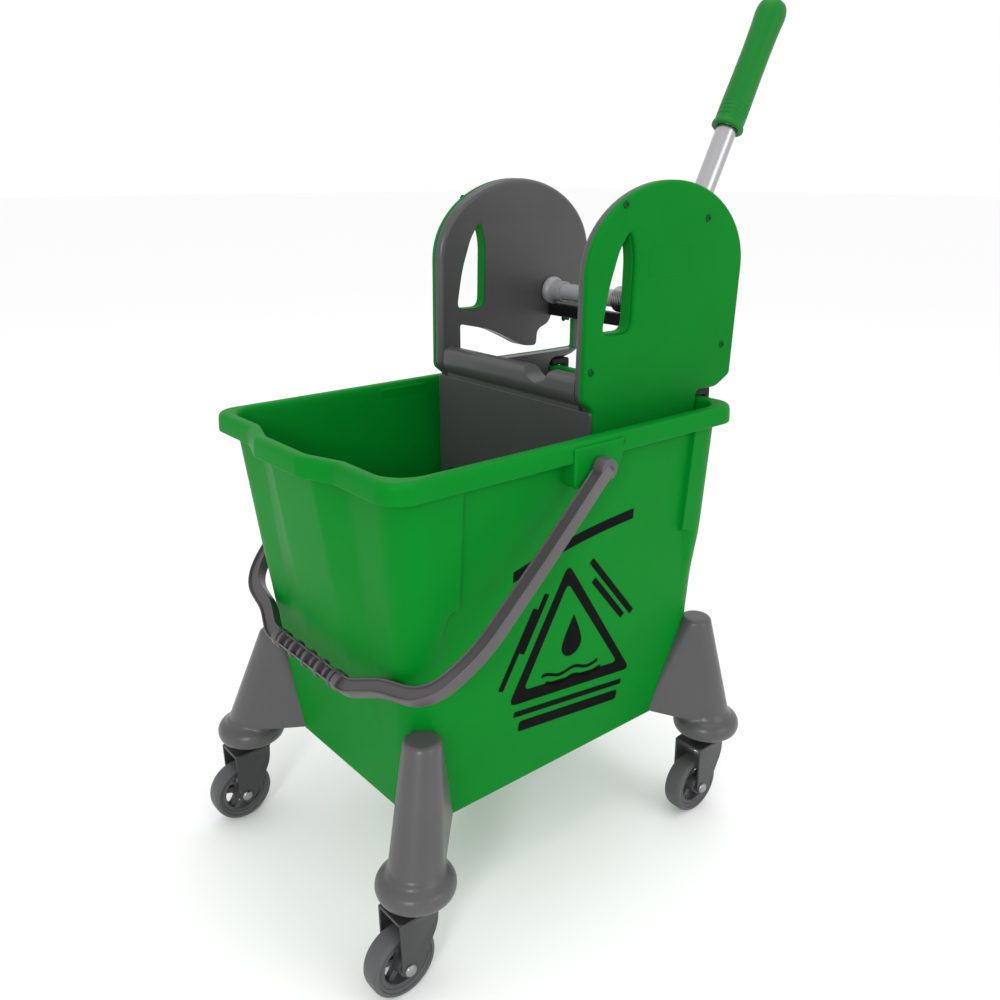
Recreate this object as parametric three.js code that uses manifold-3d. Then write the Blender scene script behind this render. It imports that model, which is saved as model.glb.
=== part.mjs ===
// Mop bucket trolley with a down-press wringer. Millimetres, +Z up.
// The bucket's front (spout) faces -Y and the wringer sits over its rear, towards +Y.
import * as THREE from 'three';
import { mergeVertices } from 'three/addons/utils/BufferGeometryUtils.js';
import { ConvexGeometry } from 'three/addons/geometries/ConvexGeometry.js';
import Module from 'manifold-3d';

const wasm = await Module();
wasm.setup();

// ---------------------------------------------------------------- driving dimensions
const GAP = 0.3;             // clearance between neighbouring pieces
const WALL = 3.5;            // moulded wall of the bucket

const RIM = { halfX: 180.7, halfY: 240, top: 531, skirt: 20.4, corner: 29 };
const MOUTH = { halfX: 167.8, front: -227.5, rear: 225.7, corner: 34 };          // outer wall at z = RIM.top
const FOOT = { halfX: 139.15, front: -190.3, rear: 228.1, corner: 34, z: 134.35 }; // outer wall at the base
const SPOUT = { halfFlat: 42, halfRamp: 86, proud: 15, fadeZ: 215 };
const PILASTER = { proud: 4.5, frontTo: -156, rearFrom: 172, z: 388, bevel: 10 };

const BAIL = {
  pivotY: 6, pivotZ: 503, tiltDeg: 41.2, armX: 192, halfWidth: 8, halfThick: 6.5,
  bow: [198, 105, 60], elbow: [201, 225, 36], shoulder: [180, 285, 30], jog: [117, 299, 11], cheek: [79, 318, 11],
  grip: [62, 318, 0],
  gripHalf: 9, ribs: 7, bossRadius: 11, pinRadius: 5, pinInner: 172,
};
const LUG = { x0: 160, x1: 183.5, frontY: -26, rearTop: 46, rearBottom: 33, top: 529, bottom: 484 };

const CASTER = {
  swivelX: 179.5, frontY: -227.7, rearY: 224, trail: 23, axleZ: 37.5, wheelRadius: 37.5, tyreHalf: 12,
  forkTop: 97, forkPlate: 3.5, forkHalf: 20, forkFront: 33, forkRear: 21, cheek: 3,
};
const LEG = { topX: 153, topInset: 31, topZ: 257, topRadius: 20, footRadius: 30, collarRadius: 41,
  collarLow: 106, collarHigh: 136, heelInset: 69, heelRadius: 29 };

const WRINGER = {
  outer: 133.4, seam: 126.2, inner: 115, front: 33, rear: 283,
  shoulderZ: 680, topZ: 773, archY: 160, lowerFront: 47, rimRest: 540, basketRear: 218.5,
};
const SHAFT = { y: 216.5, z: 633, radius: 11 };
const LEVER = { x: 72, tiltDeg: 27.6, length: 378, radius: 12.25, gripFrom: 219, gripRadius: 18 };
const BASKET = { radius: 310, thick: 4 };          // curved floor, concentric with the shaft
const PLATE = { halfX: 108, y0: 196, y1: 201, z0: 338, z1: 520 };

const COLOUR = {
  green: 0x14913a, cover: 0x0d8833, panelGrey: 0x515254, legGrey: 0x626264, forkGrey: 0x48494b,
  tyreGrey: 0x58595b, steel: 0xb4b6b8, black: 0x151515, bailGrey: 0x67646a,
};

// ---------------------------------------------------------------- solids
// A closed three.js geometry as a manifold-3d solid.
function solid(geometry) {
  const bare = new THREE.BufferGeometry();
  bare.setAttribute('position', (geometry.index ? geometry.toNonIndexed() : geometry).getAttribute('position'));
  const merged = mergeVertices(bare, 1e-4);
  const corners = merged.index.array;
  const kept = [];
  for (let i = 0; i < corners.length; i += 3) {
    const [a, b, c] = [corners[i], corners[i + 1], corners[i + 2]];
    if (a !== b && b !== c && c !== a) kept.push(a, b, c);
  }
  return new wasm.Manifold(new wasm.Mesh({
    numProp: 3, vertProperties: merged.attributes.position.array, triVerts: new Uint32Array(kept),
  }));
}

function geometryOf(body) {
  const mesh = body.getMesh();
  const geometry = new THREE.BufferGeometry();
  geometry.setAttribute('position', new THREE.BufferAttribute(new Float32Array(mesh.vertProperties), 3));
  geometry.setIndex(new THREE.BufferAttribute(new Uint32Array(mesh.triVerts), 1));
  geometry.computeVertexNormals();
  return geometry;
}

const join = (bodies) => bodies.reduce((whole, piece) => whole.add(piece));
const cut = (body, tools) => tools.reduce((whole, tool) => whole.subtract(tool), body);
const hull = (points) => solid(new ConvexGeometry(points));

function box(x0, x1, y0, y1, z0, z1) {
  const block = new THREE.BoxGeometry(x1 - x0, y1 - y0, z1 - z0);
  return solid(block.translate((x0 + x1) / 2, (y0 + y1) / 2, (z0 + z1) / 2));
}

// A straight rod along X, centred on (y, z).
function rodX(radius, x0, x1, y, z, sides = 24) {
  const rod = new THREE.CylinderGeometry(radius, radius, x1 - x0, sides);
  return solid(rod.rotateZ(-Math.PI / 2).translate((x0 + x1) / 2, y, z));
}

// A body of revolution about a vertical axis at (x, y); profile holds [radius, z] from bottom to top.
function turned(profile, x, y, sides = 32) {
  const lathe = new THREE.LatheGeometry(profile.map(([r, z]) => new THREE.Vector2(r, z)), sides);
  return solid(lathe.rotateX(Math.PI / 2).translate(x, y, 0));
}

// An outline whose corners [a, b, radius] are rounded off, as far as their edges have room.
function rounded(corners) {
  const shape = new THREE.Shape();
  corners.forEach(([a, b, radius = 0], i) => {
    const here = new THREE.Vector2(a, b);
    const before = new THREE.Vector2(...corners.at(i - 1)).sub(here);
    const after = new THREE.Vector2(...corners[(i + 1) % corners.length]).sub(here);
    const reach = Math.min(radius, 0.49 * before.length(), 0.49 * after.length());
    const from = before.setLength(reach).add(here);
    const to = after.setLength(reach).add(here);
    if (i === 0) shape.moveTo(from.x, from.y);
    else shape.lineTo(from.x, from.y);
    if (reach > 0) shape.quadraticCurveTo(a, b, to.x, to.y);
  });
  shape.closePath();
  return shape;
}

function extruded(shape, depth, segments = 4) {
  return new THREE.ExtrudeGeometry(shape, { depth, bevelEnabled: false, curveSegments: segments });
}

// A vertical prism of an (x, y) outline.
const prismZ = (shape, z0, z1, segments) => solid(extruded(shape, z1 - z0, segments).translate(0, 0, z0));

// A prism of a (y, z) outline, running along X.
const ALONG_X = new THREE.Matrix4().makeBasis(
  new THREE.Vector3(0, 1, 0), new THREE.Vector3(0, 0, 1), new THREE.Vector3(1, 0, 0));
const prismX = (shape, x0, x1, segments) =>
  solid(extruded(shape, x1 - x0, segments).applyMatrix4(ALONG_X).translate(x0, 0, 0));

function circlePoints(x, y, z, radius, sides = 16) {
  return Array.from({ length: sides }, (_, i) => {
    const turn = (2 * Math.PI * i) / sides;
    return new THREE.Vector3(x + radius * Math.cos(turn), y + radius * Math.sin(turn), z);
  });
}

const mirrorX = (body) => body.mirror([1, 0, 0]);

// ---------------------------------------------------------------- scene
const trolley = new THREE.Group();

function addPart(name, body, colour, roughness = 0.45, metalness = 0) {
  const material = new THREE.MeshStandardMaterial({ color: colour, roughness, metalness });
  const mesh = new THREE.Mesh(geometryOf(body), material);
  mesh.name = name;
  trolley.add(mesh);
}

// ---------------------------------------------------------------- bucket
const between = (low, high, t) => low + (high - low) * t;
// The outer wall's plan at a height: half width, front and rear.
function wallAt(z) {
  const t = (z - FOOT.z) / (RIM.top - FOOT.z);
  return {
    halfX: between(FOOT.halfX, MOUTH.halfX, t), front: between(FOOT.front, MOUTH.front, t),
    rear: between(FOOT.rear, MOUTH.rear, t), corner: FOOT.corner, z,
  };
}

function wallRing({ halfX, front, rear, corner, z }, inset = 0, widen = 0) {
  const ring = [];
  const radius = corner - inset;
  const [x, y0, y1] = [halfX - inset + widen, front + inset, rear - inset];
  const [cx, cy0, cy1] = [x - radius, y0 + radius, y1 - radius];
  const centres = [[cx, cy1], [-cx, cy1], [-cx, cy0], [cx, cy0]];
  const steps = 6;
  centres.forEach(([a, b], quarter) => {
    for (let i = 0; i <= steps; i++) {
      const turn = (Math.PI / 2) * (quarter + i / steps);
      ring.push(new THREE.Vector3(a + radius * Math.cos(turn), b + radius * Math.sin(turn), z));
    }
  });
  return ring;
}

function bucketBlock(inset, lowZ, highZ, widen = 0) {
  return hull([...wallRing(wallAt(lowZ), inset, widen), ...wallRing(wallAt(highZ), inset, widen)]);
}

// The pouring bulge in the middle of the front wall, fading out towards the base.
function spoutBlock(inset, highZ) {
  const top = wallAt(highZ);
  const low = wallAt(SPOUT.fadeZ);
  const root = 30;
  const points = [];
  for (const side of [-1, 1]) {
    points.push(new THREE.Vector3(side * SPOUT.halfFlat, top.front - SPOUT.proud + inset, highZ));
    points.push(new THREE.Vector3(side * (SPOUT.halfRamp - inset), top.front + inset, highZ));
    points.push(new THREE.Vector3(side * (SPOUT.halfRamp - inset), top.front + root, highZ));
    points.push(new THREE.Vector3(side * SPOUT.halfFlat, low.front + inset, SPOUT.fadeZ));
    points.push(new THREE.Vector3(side * (SPOUT.halfRamp - inset), low.front + inset, SPOUT.fadeZ));
    points.push(new THREE.Vector3(side * (SPOUT.halfRamp - inset), low.front + root, SPOUT.fadeZ));
  }
  return hull(points);
}

function rimOutline(inset) {
  const [x, y] = [RIM.halfX - inset, RIM.halfY - inset];
  const corner = RIM.corner - inset;
  return rounded([
    [x, y, corner], [-x, y, corner], [-x, -y, corner], [-SPOUT.halfRamp, -y, 14],
    [-SPOUT.halfFlat, -y - SPOUT.proud, 14], [SPOUT.halfFlat, -y - SPOUT.proud, 14], [SPOUT.halfRamp, -y, 14],
    [x, -y, corner],
  ]);
}

function pilasters() {
  const proud = bucketBlock(0, FOOT.z, RIM.top, PILASTER.proud);
  const { z, bevel, frontTo, rearFrom } = PILASTER;
  const reach = 200;
  // Each region is a tall block whose foot slopes back into the wall.
  const region = (y0, y1, side) => {
    const inner = side * 120;
    const foot = [[inner, z - 2 * bevel], [side * reach, z + bevel]];
    const points = [];
    for (const y of [y0, y1]) {
      points.push(...foot.map(([x, low]) => new THREE.Vector3(x, y, low)));
      points.push(new THREE.Vector3(inner, y, RIM.top - 5), new THREE.Vector3(side * reach, y, RIM.top - 5));
    }
    return hull(points);
  };
  const regions = [-1, 1].flatMap((side) => [region(-260, frontTo, side), region(rearFrom, 260, side)]);
  return regions.map((block) => proud.intersect(block));
}

function lug(side) {
  const { frontY, rearTop, rearBottom, top, bottom } = LUG;
  const outline = rounded([[frontY, bottom, 7], [rearBottom, bottom, 8], [rearTop, top - 18, 4],
    [rearTop + 2, top, 0], [frontY, top, 0]]);
  const tab = prismX(outline, LUG.x0, LUG.x1);
  return side > 0 ? tab : mirrorX(tab);
}

function bucket() {
  const rimLow = RIM.top - RIM.skirt;
  const outer = join([bucketBlock(0, FOOT.z, RIM.top), spoutBlock(0, RIM.top), ...pilasters()]);
  const channel = prismZ(rimOutline(WALL), rimLow - 1, RIM.top - WALL);
  const rim = prismZ(rimOutline(0), rimLow, RIM.top).subtract(channel);
  const whole = join([outer, rim, lug(-1), lug(1)]);
  const above = RIM.top + 8;
  const cavity = bucketBlock(WALL, FOOT.z + 4, above).add(spoutBlock(WALL, above));
  const pinHoles = [-1, 1].map((side) => {
    const [a, b] = [side * (BAIL.pinInner - 1), side * (LUG.x1 + 1)];
    return rodX(BAIL.pinRadius + GAP, Math.min(a, b), Math.max(a, b), BAIL.pivotY, BAIL.pivotZ, 20);
  });
  return cut(whole, [cavity, ...pinHoles]);
}

// ---------------------------------------------------------------- legs and casters
const CORNERS = [
  { name: 'front_left', side: -1, end: -1 }, { name: 'front_right', side: 1, end: -1 },
  { name: 'rear_left', side: -1, end: 1 }, { name: 'rear_right', side: 1, end: 1 },
].map((corner) => ({
  ...corner, x: corner.side * CASTER.swivelX, y: corner.end < 0 ? CASTER.frontY : CASTER.rearY,
}));
// The rear wall stands further back than the swivels, so a rear leg leans less along Y than a front one.
const legTopY = (end) => (end < 0 ? CASTER.frontY + LEG.topInset : CASTER.rearY - 2);
const heelY = (end) => (end < 0 ? CASTER.frontY + LEG.heelInset - 15 : CASTER.rearY - 44);

const STEM = { radius: 5.5, top: 152, cupRadius: 15, cupLow: CASTER.forkTop + 0.4 };

function leg({ side, end, x, y }) {
  const fin = hull([
    ...circlePoints(side * LEG.topX, legTopY(end), LEG.topZ, LEG.topRadius - 3),
    ...circlePoints(side * LEG.topX, legTopY(end), LEG.topZ - 3, LEG.topRadius),
    ...circlePoints(x, y, LEG.collarHigh - 6, LEG.footRadius),
    ...circlePoints(x - side * (LEG.heelInset - 15), heelY(end), FOOT.z + 6, LEG.heelRadius),
  ]);
  const { collarRadius: r, collarLow: low, collarHigh: high } = LEG;
  const collar = turned([[0, low], [r - 9, low], [r - 2, low + 5], [r, low + 13], [r - 3, low + 22],
    [r - 10, high], [0, high]], x, y, 24);
  const [bore, boreTop] = [STEM.radius + GAP, STEM.top + GAP];
  const socket = turned([[0, low - 5], [bore, low - 5], [bore, boreTop], [0, boreTop]], x, y, 16);
  const bucketSpace = bucketBlock(-GAP, FOOT.z - 30, RIM.top);
  const lowered = bucketSpace.intersect(box(-300, 300, -300, 300, FOOT.z - GAP, RIM.top));
  return cut(fin.add(collar), [socket, lowered]);
}

// Fixed half of the swivel: a stem pressed up into the leg, with a bearing cup over the fork.
function stem({ x, y }) {
  const { radius, top, cupRadius, cupLow } = STEM;
  const underLeg = LEG.collarLow - GAP;
  return turned([[0, cupLow], [cupRadius, cupLow], [cupRadius + 2, underLeg - 1], [cupRadius, underLeg],
    [radius, underLeg], [radius, top - 2], [radius - 2, top], [0, top]], x, y, 16);
}

function fork({ x, y }) {
  const { forkTop, forkPlate, forkHalf, forkFront, forkRear, cheek, trail, axleZ } = CASTER;
  const axleY = y - trail;
  const plate = prismZ(rounded([
    [x - forkHalf, y - forkFront, 4], [x + forkHalf, y - forkFront, 4], [x + forkHalf, y + forkRear - 8, 5],
    [x + 9, y + forkRear, 5], [x - 9, y + forkRear, 5], [x - forkHalf, y + forkRear - 8, 5],
  ]), forkTop - forkPlate, forkTop, 2);
  const side = rounded([
    [y - forkFront, forkTop - 1, 1], [y - forkFront + 1, axleZ - 2, 10], [axleY + 2, axleZ - 14, 9],
    [axleY + 15, axleZ - 2, 9], [y + forkRear - 9, forkTop - 22, 12], [y + forkRear - 8, forkTop - 1, 1],
  ]);
  const cheeks = [x - forkHalf, x + forkHalf - cheek].map((from) => prismX(side, from, from + cheek, 2));
  const axleHole = rodX(4 + GAP, x - forkHalf - 1, x + forkHalf + 1, axleY, axleZ, 12);
  return join([plate, ...cheeks]).subtract(axleHole);
}

// A ring or disc about the axle, from [radius, x] profile points relative to the wheel's middle.
function wheelTurned(profile, { x, y }, sides) {
  const lathe = new THREE.LatheGeometry(profile.map(([r, dx]) => new THREE.Vector2(r, dx)), sides);
  // Turning the lathe by half a side puts a flat facet at the bottom.
  lathe.rotateY(Math.PI / sides).rotateZ(-Math.PI / 2);
  return solid(lathe.translate(x, y - CASTER.trail, CASTER.axleZ));
}

const WHEEL = { seat: 28, bore: 4.4, hub: 10.5, hubHalf: 14.5, coreHalf: 9, webHalf: 3.5, spokes: 5 };
const TYRE_SIDES = 28;

function tyre(corner) {
  const { wheelRadius, tyreHalf } = CASTER;
  const crown = wheelRadius / Math.cos(Math.PI / TYRE_SIDES);
  const [inner, edge] = [WHEEL.seat + GAP, tyreHalf];
  return wheelTurned([
    [inner, -WHEEL.coreHalf], [crown - 5, -edge], [crown - 1.5, -edge + 2.5], [crown, -edge / 3],
    [crown, edge / 3], [crown - 1.5, edge - 2.5], [crown - 5, edge], [inner, WHEEL.coreHalf],
    [inner, -WHEEL.coreHalf],
  ], corner, TYRE_SIDES);
}

function wheelCore(corner) {
  const { seat, bore, hub, hubHalf, coreHalf, webHalf, spokes } = WHEEL;
  const { x, y } = corner;
  const [axleY, axleZ] = [y - CASTER.trail, CASTER.axleZ];
  const rimInner = seat - 5;
  const ring = wheelTurned([[rimInner, -coreHalf], [seat, -coreHalf], [seat, coreHalf], [rimInner, coreHalf],
    [rimInner, -coreHalf]], corner, TYRE_SIDES);
  const arms = Array.from({ length: spokes }, (_, i) => {
    const arm = new THREE.BoxGeometry(2 * webHalf, 9, seat - 2).translate(0, 0, (seat - 2) / 2);
    return solid(arm.rotateX((2 * Math.PI * i) / spokes).translate(x, axleY, axleZ));
  });
  const middle = rodX(hub, x - hubHalf, x + hubHalf, axleY, axleZ, 16);
  const hole = rodX(bore, x - hubHalf - 1, x + hubHalf + 1, axleY, axleZ, 12);
  return join([ring, ...arms, middle]).subtract(hole);
}

function axle({ x, y }) {
  const out = CASTER.forkHalf + GAP;
  const [head, shank, length] = [6.5, 4, 3];
  const profile = [[0, -out - length], [head - 1.5, -out - length], [head, -out - 1], [head, -out],
    [shank, -out], [shank, out], [head, out], [head, out + 1], [head - 1.5, out + length], [0, out + length]];
  return wheelTurned(profile, { x, y }, 12);
}

// Countersunk screw that holds a leg to the bucket's floor from inside.
function legScrew({ side, end }) {
  const x = side * 112;
  const y = end < 0 ? -158 : 190;
  const floor = FOOT.z + 4 + GAP;
  return turned([[0, floor], [7, floor], [7, floor + 2], [5, floor + 4], [0, floor + 4]], x, y, 16);
}

// ---------------------------------------------------------------- bail handle
// The bail is drawn in its own plane: first coordinate X, second the distance out from the pivots.
function bail() {
  const tilt = THREE.MathUtils.degToRad(BAIL.tiltDeg);
  const out = new THREE.Vector3(0, -Math.cos(tilt), -Math.sin(tilt));
  const normal = new THREE.Vector3(1, 0, 0).cross(out);
  const place = new THREE.Matrix4().makeBasis(new THREE.Vector3(1, 0, 0), out, normal)
    .setPosition(0, BAIL.pivotY, BAIL.pivotZ);
  const { armX, halfWidth: w, halfThick, bow, elbow, shoulder, jog, cheek, grip } = BAIL;
  const route = [[armX, 0, 0], bow, elbow, shoulder, jog, cheek, grip];
  const line = [...route, ...route.map(([x, v, radius]) => [-x, v, radius]).reverse()];
  const offset = (sign) => line.map(([x, v, radius], i) => {
    const before = line[Math.max(i - 1, 0)];
    const after = line[Math.min(i + 1, line.length - 1)];
    const along = new THREE.Vector2(after[0] - before[0], after[1] - before[1]).normalize();
    return [x + sign * w * along.y, v - sign * w * along.x, radius];
  });
  const outline = rounded([...offset(1), ...offset(-1).reverse()]);
  const band = extruded(outline, 2 * halfThick, 3).translate(0, 0, -halfThick);
  const pieces = [band];
  for (const side of [-1, 1]) {
    pieces.push(new THREE.CylinderGeometry(BAIL.bossRadius, BAIL.bossRadius, 2 * w, 16).rotateZ(-Math.PI / 2)
      .translate(side * armX, 0, 0));
    const { pinInner: pinFrom, pinRadius } = BAIL;
    const pinTo = armX;
    pieces.push(new THREE.CylinderGeometry(pinRadius, pinRadius, pinTo - pinFrom, 12).rotateZ(-Math.PI / 2)
      .translate((side * (pinFrom + pinTo)) / 2, 0, 0));
  }
  const pitch = (2 * grip[0] - 8) / (BAIL.ribs - 1);
  for (let i = 0; i < BAIL.ribs; i++) {
    const x = 4 - grip[0] + i * pitch;
    pieces.push(new THREE.CylinderGeometry(BAIL.gripHalf + 2, BAIL.gripHalf + 2, 6, 10).rotateZ(-Math.PI / 2)
      .translate(x, grip[1], 0));
  }
  pieces.push(new THREE.CylinderGeometry(BAIL.gripHalf, BAIL.gripHalf, 2 * grip[0], 10).rotateZ(-Math.PI / 2)
    .translate(0, grip[1], 0));
  return join(pieces.map((piece) => solid(piece.applyMatrix4(place))));
}

// ---------------------------------------------------------------- wringer side panels
// Outline of a side panel in (y, z): an arched top, straight sides, and a step down into the bucket.
function panelOutline(bottom, inset = 0) {
  const { front, rear, shoulderZ, topZ, archY, lowerFront, rimRest, basketRear } = WRINGER;
  const shape = new THREE.Shape();
  const half = (rear - front) / 2 - inset;
  shape.moveTo(archY - half, shoulderZ);
  shape.lineTo(front + inset, 553);
  shape.lineTo(lowerFront, rimRest + 2);
  shape.lineTo(lowerFront, bottom);
  shape.lineTo(basketRear, bottom);
  shape.lineTo(basketRear, rimRest);
  shape.lineTo(255, rimRest);
  shape.lineTo(rear - 4 - inset, 552);
  shape.lineTo(archY + half, shoulderZ);
  shape.absellipse(archY, shoulderZ, half, topZ - shoulderZ - inset, 0, Math.PI, false, 0);
  return shape;
}

const handSlot = () => rounded([[58, 620, 12], [103, 619, 14], [105, 700, 12], [97, 726, 8], [82, 708, 10],
  [67, 668, 12]]);

// The open window in the left side, between the shaft's bearing and the rail that rests on the rim.
const leftWindow = () => rounded([[64, 553, 3], [64, 603, 3], [112, 592, 8], [148, 575, 10], [166, 565, 8],
  [190, 563, 5], [192, 584, 6], [212, 591, 8], [218, 604, 3], [270, 606, 3], [270, 551, 3], [219, 551, 3]]);

const SCREWS = [[85, 750], [217, 733], [42, 585], [258, 590]];
const SCREW = { head: 4.2, shank: 2, depth: 13 };

function screwHoles(x0, x1) {
  return SCREWS.map(([y, z]) => rodX(SCREW.shank + 2 * GAP, x0, x1, y, z, 8));
}

function sideShell() {
  const { seam, inner } = WRINGER;
  const panel = prismX(panelOutline(316), inner, seam - GAP, 20);
  const slot = prismX(handSlot(), inner - 1, seam + 1);
  const bearing = rodX(SHAFT.radius + GAP, inner - 1, seam - 3, SHAFT.y, SHAFT.z);
  // The lower part is trimmed to the curve of the basket floor.
  const under = BASKET.radius + BASKET.thick + 4;
  const curve = rodX(under, inner - 1, seam + 1, SHAFT.y, SHAFT.z, 72);
  const aboveFloor = box(inner - 1, seam + 1, 0, 300, 450, 800).add(curve);
  return cut(panel, [slot, bearing, ...screwHoles(seam - 9, seam + 1)]).intersect(aboveFloor);
}

function sideCover() {
  const { seam, outer } = WRINGER;
  const panel = prismX(panelOutline(498), seam, outer, 20);
  const slot = prismX(handSlot(), seam - 1, outer + 1);
  return cut(panel, [slot, ...screwHoles(seam - 1, outer + 1)]);
}

function coverScrew([y, z]) {
  const { outer } = WRINGER;
  const from = outer + GAP;
  const shank = rodX(SCREW.shank, from - SCREW.depth, from + 1, y, z, 8);
  return shank.add(rodX(SCREW.head, from, from + 1.6, y, z, 12));
}

// ---------------------------------------------------------------- wringer basket
function frontPanel() {
  const { inner, lowerFront } = WRINGER;
  const face = lowerFront - GAP;
  const halfBar = inner - GAP;
  const crossbar = rounded([[35, 549, 5], [60, 546, 2], [60, 574, 5], [52, 578, 5], [38, 576, 8]]);
  const bar = prismX(crossbar, -halfBar, halfBar);
  const notch = prismZ(rounded([[28, 20, 0], [76, 20, 0], [76, 80, 0], [28, 80, 0]]), 565, 590);
  const sheet = box(-132.8, 132.8, face - 4, face, 371, 541);
  const web = box(-halfBar, halfBar, face - 4, face + 13, 535, 551);
  const slots = [];
  for (let row = 0; row < 3; row++) {
    for (let column = -2; column <= 2; column++) {
      slots.push(box(column * 48 - 19, column * 48 + 19, face - 6, face + 2, 384 + row * 16, 391 + row * 16));
    }
  }
  return cut(join([bar, sheet, web]), [notch, ...slots]);
}

// Perforated floor that the press plate's edge sweeps over.
function basketFloor() {
  const halfX = WRINGER.inner - GAP;
  const { radius, thick } = BASKET;
  const angleOf = (y) => Math.asin((SHAFT.y - y) / radius);
  const [from, to] = [angleOf(WRINGER.basketRear - 6), angleOf(WRINGER.lowerFront + 1)];
  const arc = (r, a) => [SHAFT.y - r * Math.sin(a), SHAFT.z - r * Math.cos(a)];
  const steps = 14;
  const corners = [];
  for (let i = 0; i <= steps; i++) corners.push(arc(radius, between(from, to, i / steps)));
  for (let i = steps; i >= 0; i--) corners.push(arc(radius + thick, between(from, to, i / steps)));
  const floor = prismX(rounded(corners), -halfX, halfX);
  const holes = [];
  for (let row = 0; row < 3; row++) {
    const a = between(from, to, (row + 0.8) / 3.6);
    for (let column = -2; column <= 2; column++) {
      const hole = new THREE.BoxGeometry(28, 24, 30).translate(column * 42, 0, -radius).rotateX(-a);
      holes.push(solid(hole.translate(0, SHAFT.y, SHAFT.z)));
    }
  }
  return cut(floor, holes);
}

// Hook under each side shell: it sits on the rear rim and reaches down behind it.
function rearHook() {
  const { inner, seam, rimRest, basketRear } = WRINGER;
  const rest = RIM.top + GAP;
  const behind = RIM.halfY + 3.5;
  const outline = rounded([[basketRear + 2, rest, 1], [behind, rest, 1], [behind, 500, 2], [behind + 9, 500, 3],
    [behind + 9, rimRest - GAP, 1], [basketRear + 2, rimRest - GAP, 1]]);
  return prismX(outline, inner, seam - GAP, 2);
}

function rearTie() {
  const half = WRINGER.inner - GAP;
  const front = RIM.halfY + 3.5;
  const outline = rounded([[front, 502, 3], [front + 9, 502, 3], [front + 9, 525, 3], [front, 525, 3]]);
  return prismX(outline, -half, half, 2);
}

// ---------------------------------------------------------------- press: shaft, lever, arms, plate
function shaftRod() {
  const end = WRINGER.seam - 3 - GAP;
  return rodX(SHAFT.radius - GAP, -end, end, SHAFT.y, SHAFT.z, 28);
}

const COLLAR = { radius: 17.5 };

function shaftCollar(side) {
  const outer = WRINGER.inner - 0.6;
  const profile = [[SHAFT.radius, outer - 26], [13, outer - 25], [13.4, outer - 12], [17, outer - 6],
    [COLLAR.radius, outer], [SHAFT.radius, outer], [SHAFT.radius, outer - 26]];
  const lathe = new THREE.LatheGeometry(profile.map(([r, x]) => new THREE.Vector2(r, x)), 28);
  const collar = solid(lathe.rotateZ(-Math.PI / 2).translate(0, SHAFT.y, SHAFT.z));
  return side > 0 ? collar : mirrorX(collar);
}

// Places a piece drawn along +Z from the shaft's axis so that it leans with the lever.
function alongLever(geometry) {
  const lean = THREE.MathUtils.degToRad(LEVER.tiltDeg);
  return solid(geometry.rotateX(-lean).translate(LEVER.x, SHAFT.y, SHAFT.z));
}

const lathed = (profile, sides = 24) =>
  new THREE.LatheGeometry(profile.map(([r, z]) => new THREE.Vector2(r, z)), sides).rotateX(Math.PI / 2);

const HUB = { radius: 21, half: 16, socketTop: 62, socketRadius: 15.5 };

function leverHub() {
  const round = rodX(HUB.radius, LEVER.x - HUB.half, LEVER.x + HUB.half, SHAFT.y, SHAFT.z, 28);
  const { socketRadius, socketTop } = HUB;
  const socket = alongLever(lathed([[0, 4], [socketRadius, 4], [socketRadius, socketTop], [0, socketTop]]));
  const bore = rodX(SHAFT.radius, LEVER.x - HUB.half - 1, LEVER.x + HUB.half + 1, SHAFT.y, SHAFT.z, 28);
  const tubeSpace = LEVER.radius + GAP;
  const above = socketTop + 5;
  const tubeHole = alongLever(lathed([[0, 20], [tubeSpace, 20], [tubeSpace, above], [0, above]]));
  return cut(round.add(socket), [bore, tubeHole]);
}

function leverTube() {
  const [wallInner, low, high] = [LEVER.radius - 1.8, 20.5, LEVER.length - 10];
  return alongLever(lathed([[wallInner, low], [LEVER.radius, low], [LEVER.radius, high], [wallInner, high],
    [wallInner, low]]));
}

function leverGrip() {
  const { gripFrom: low, length: high, gripRadius: r } = LEVER;
  const bore = LEVER.radius + GAP;
  const profile = [[bore, low], [r, low], [r + 1, low + 2], [r - 0.5, low + 8], [r - 1.2, high - 40],
    [r, high - 18], [r - 2, high - 7], [r - 7, high - 1.5], [0, high], [0, high - 9], [bore, high - 9], [bore, low]];
  return alongLever(lathed(profile, 24));
}

const RAIL = { y: 217, z0: 601, z1: 616, half: 7, ends: 114 };
const ARM = { x: 35, half: 4 };

// The bar under the shaft that ties the two hanger arms together.
function pressRail() {
  const { y, z0, z1, half, ends } = RAIL;
  const section = rounded([[y - half, z0, 3], [y + half, z0, 3], [y + half, z1, 3], [y - half, z1, 3]]);
  const bar = prismX(section, -ends, ends, 2);
  const gap = ARM.half + GAP;
  const gaps = [-ARM.x, ARM.x].map((x) => box(x - gap, x + gap, y - 3, y + half + 1, z0 - 1, z1 + 1));
  const hubRoom = rodX(HUB.radius + GAP, LEVER.x - HUB.half - 1, LEVER.x + HUB.half + 1, SHAFT.y, SHAFT.z);
  const collarRoom = [-1, 1].map((side) => {
    const [from, to] = [side * (WRINGER.inner - 28), side * WRINGER.inner].sort((a, b) => a - b);
    return rodX(COLLAR.radius + GAP, from, to, SHAFT.y, SHAFT.z);
  });
  return cut(bar, [...gaps, hubRoom, ...collarRoom]);
}

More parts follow.
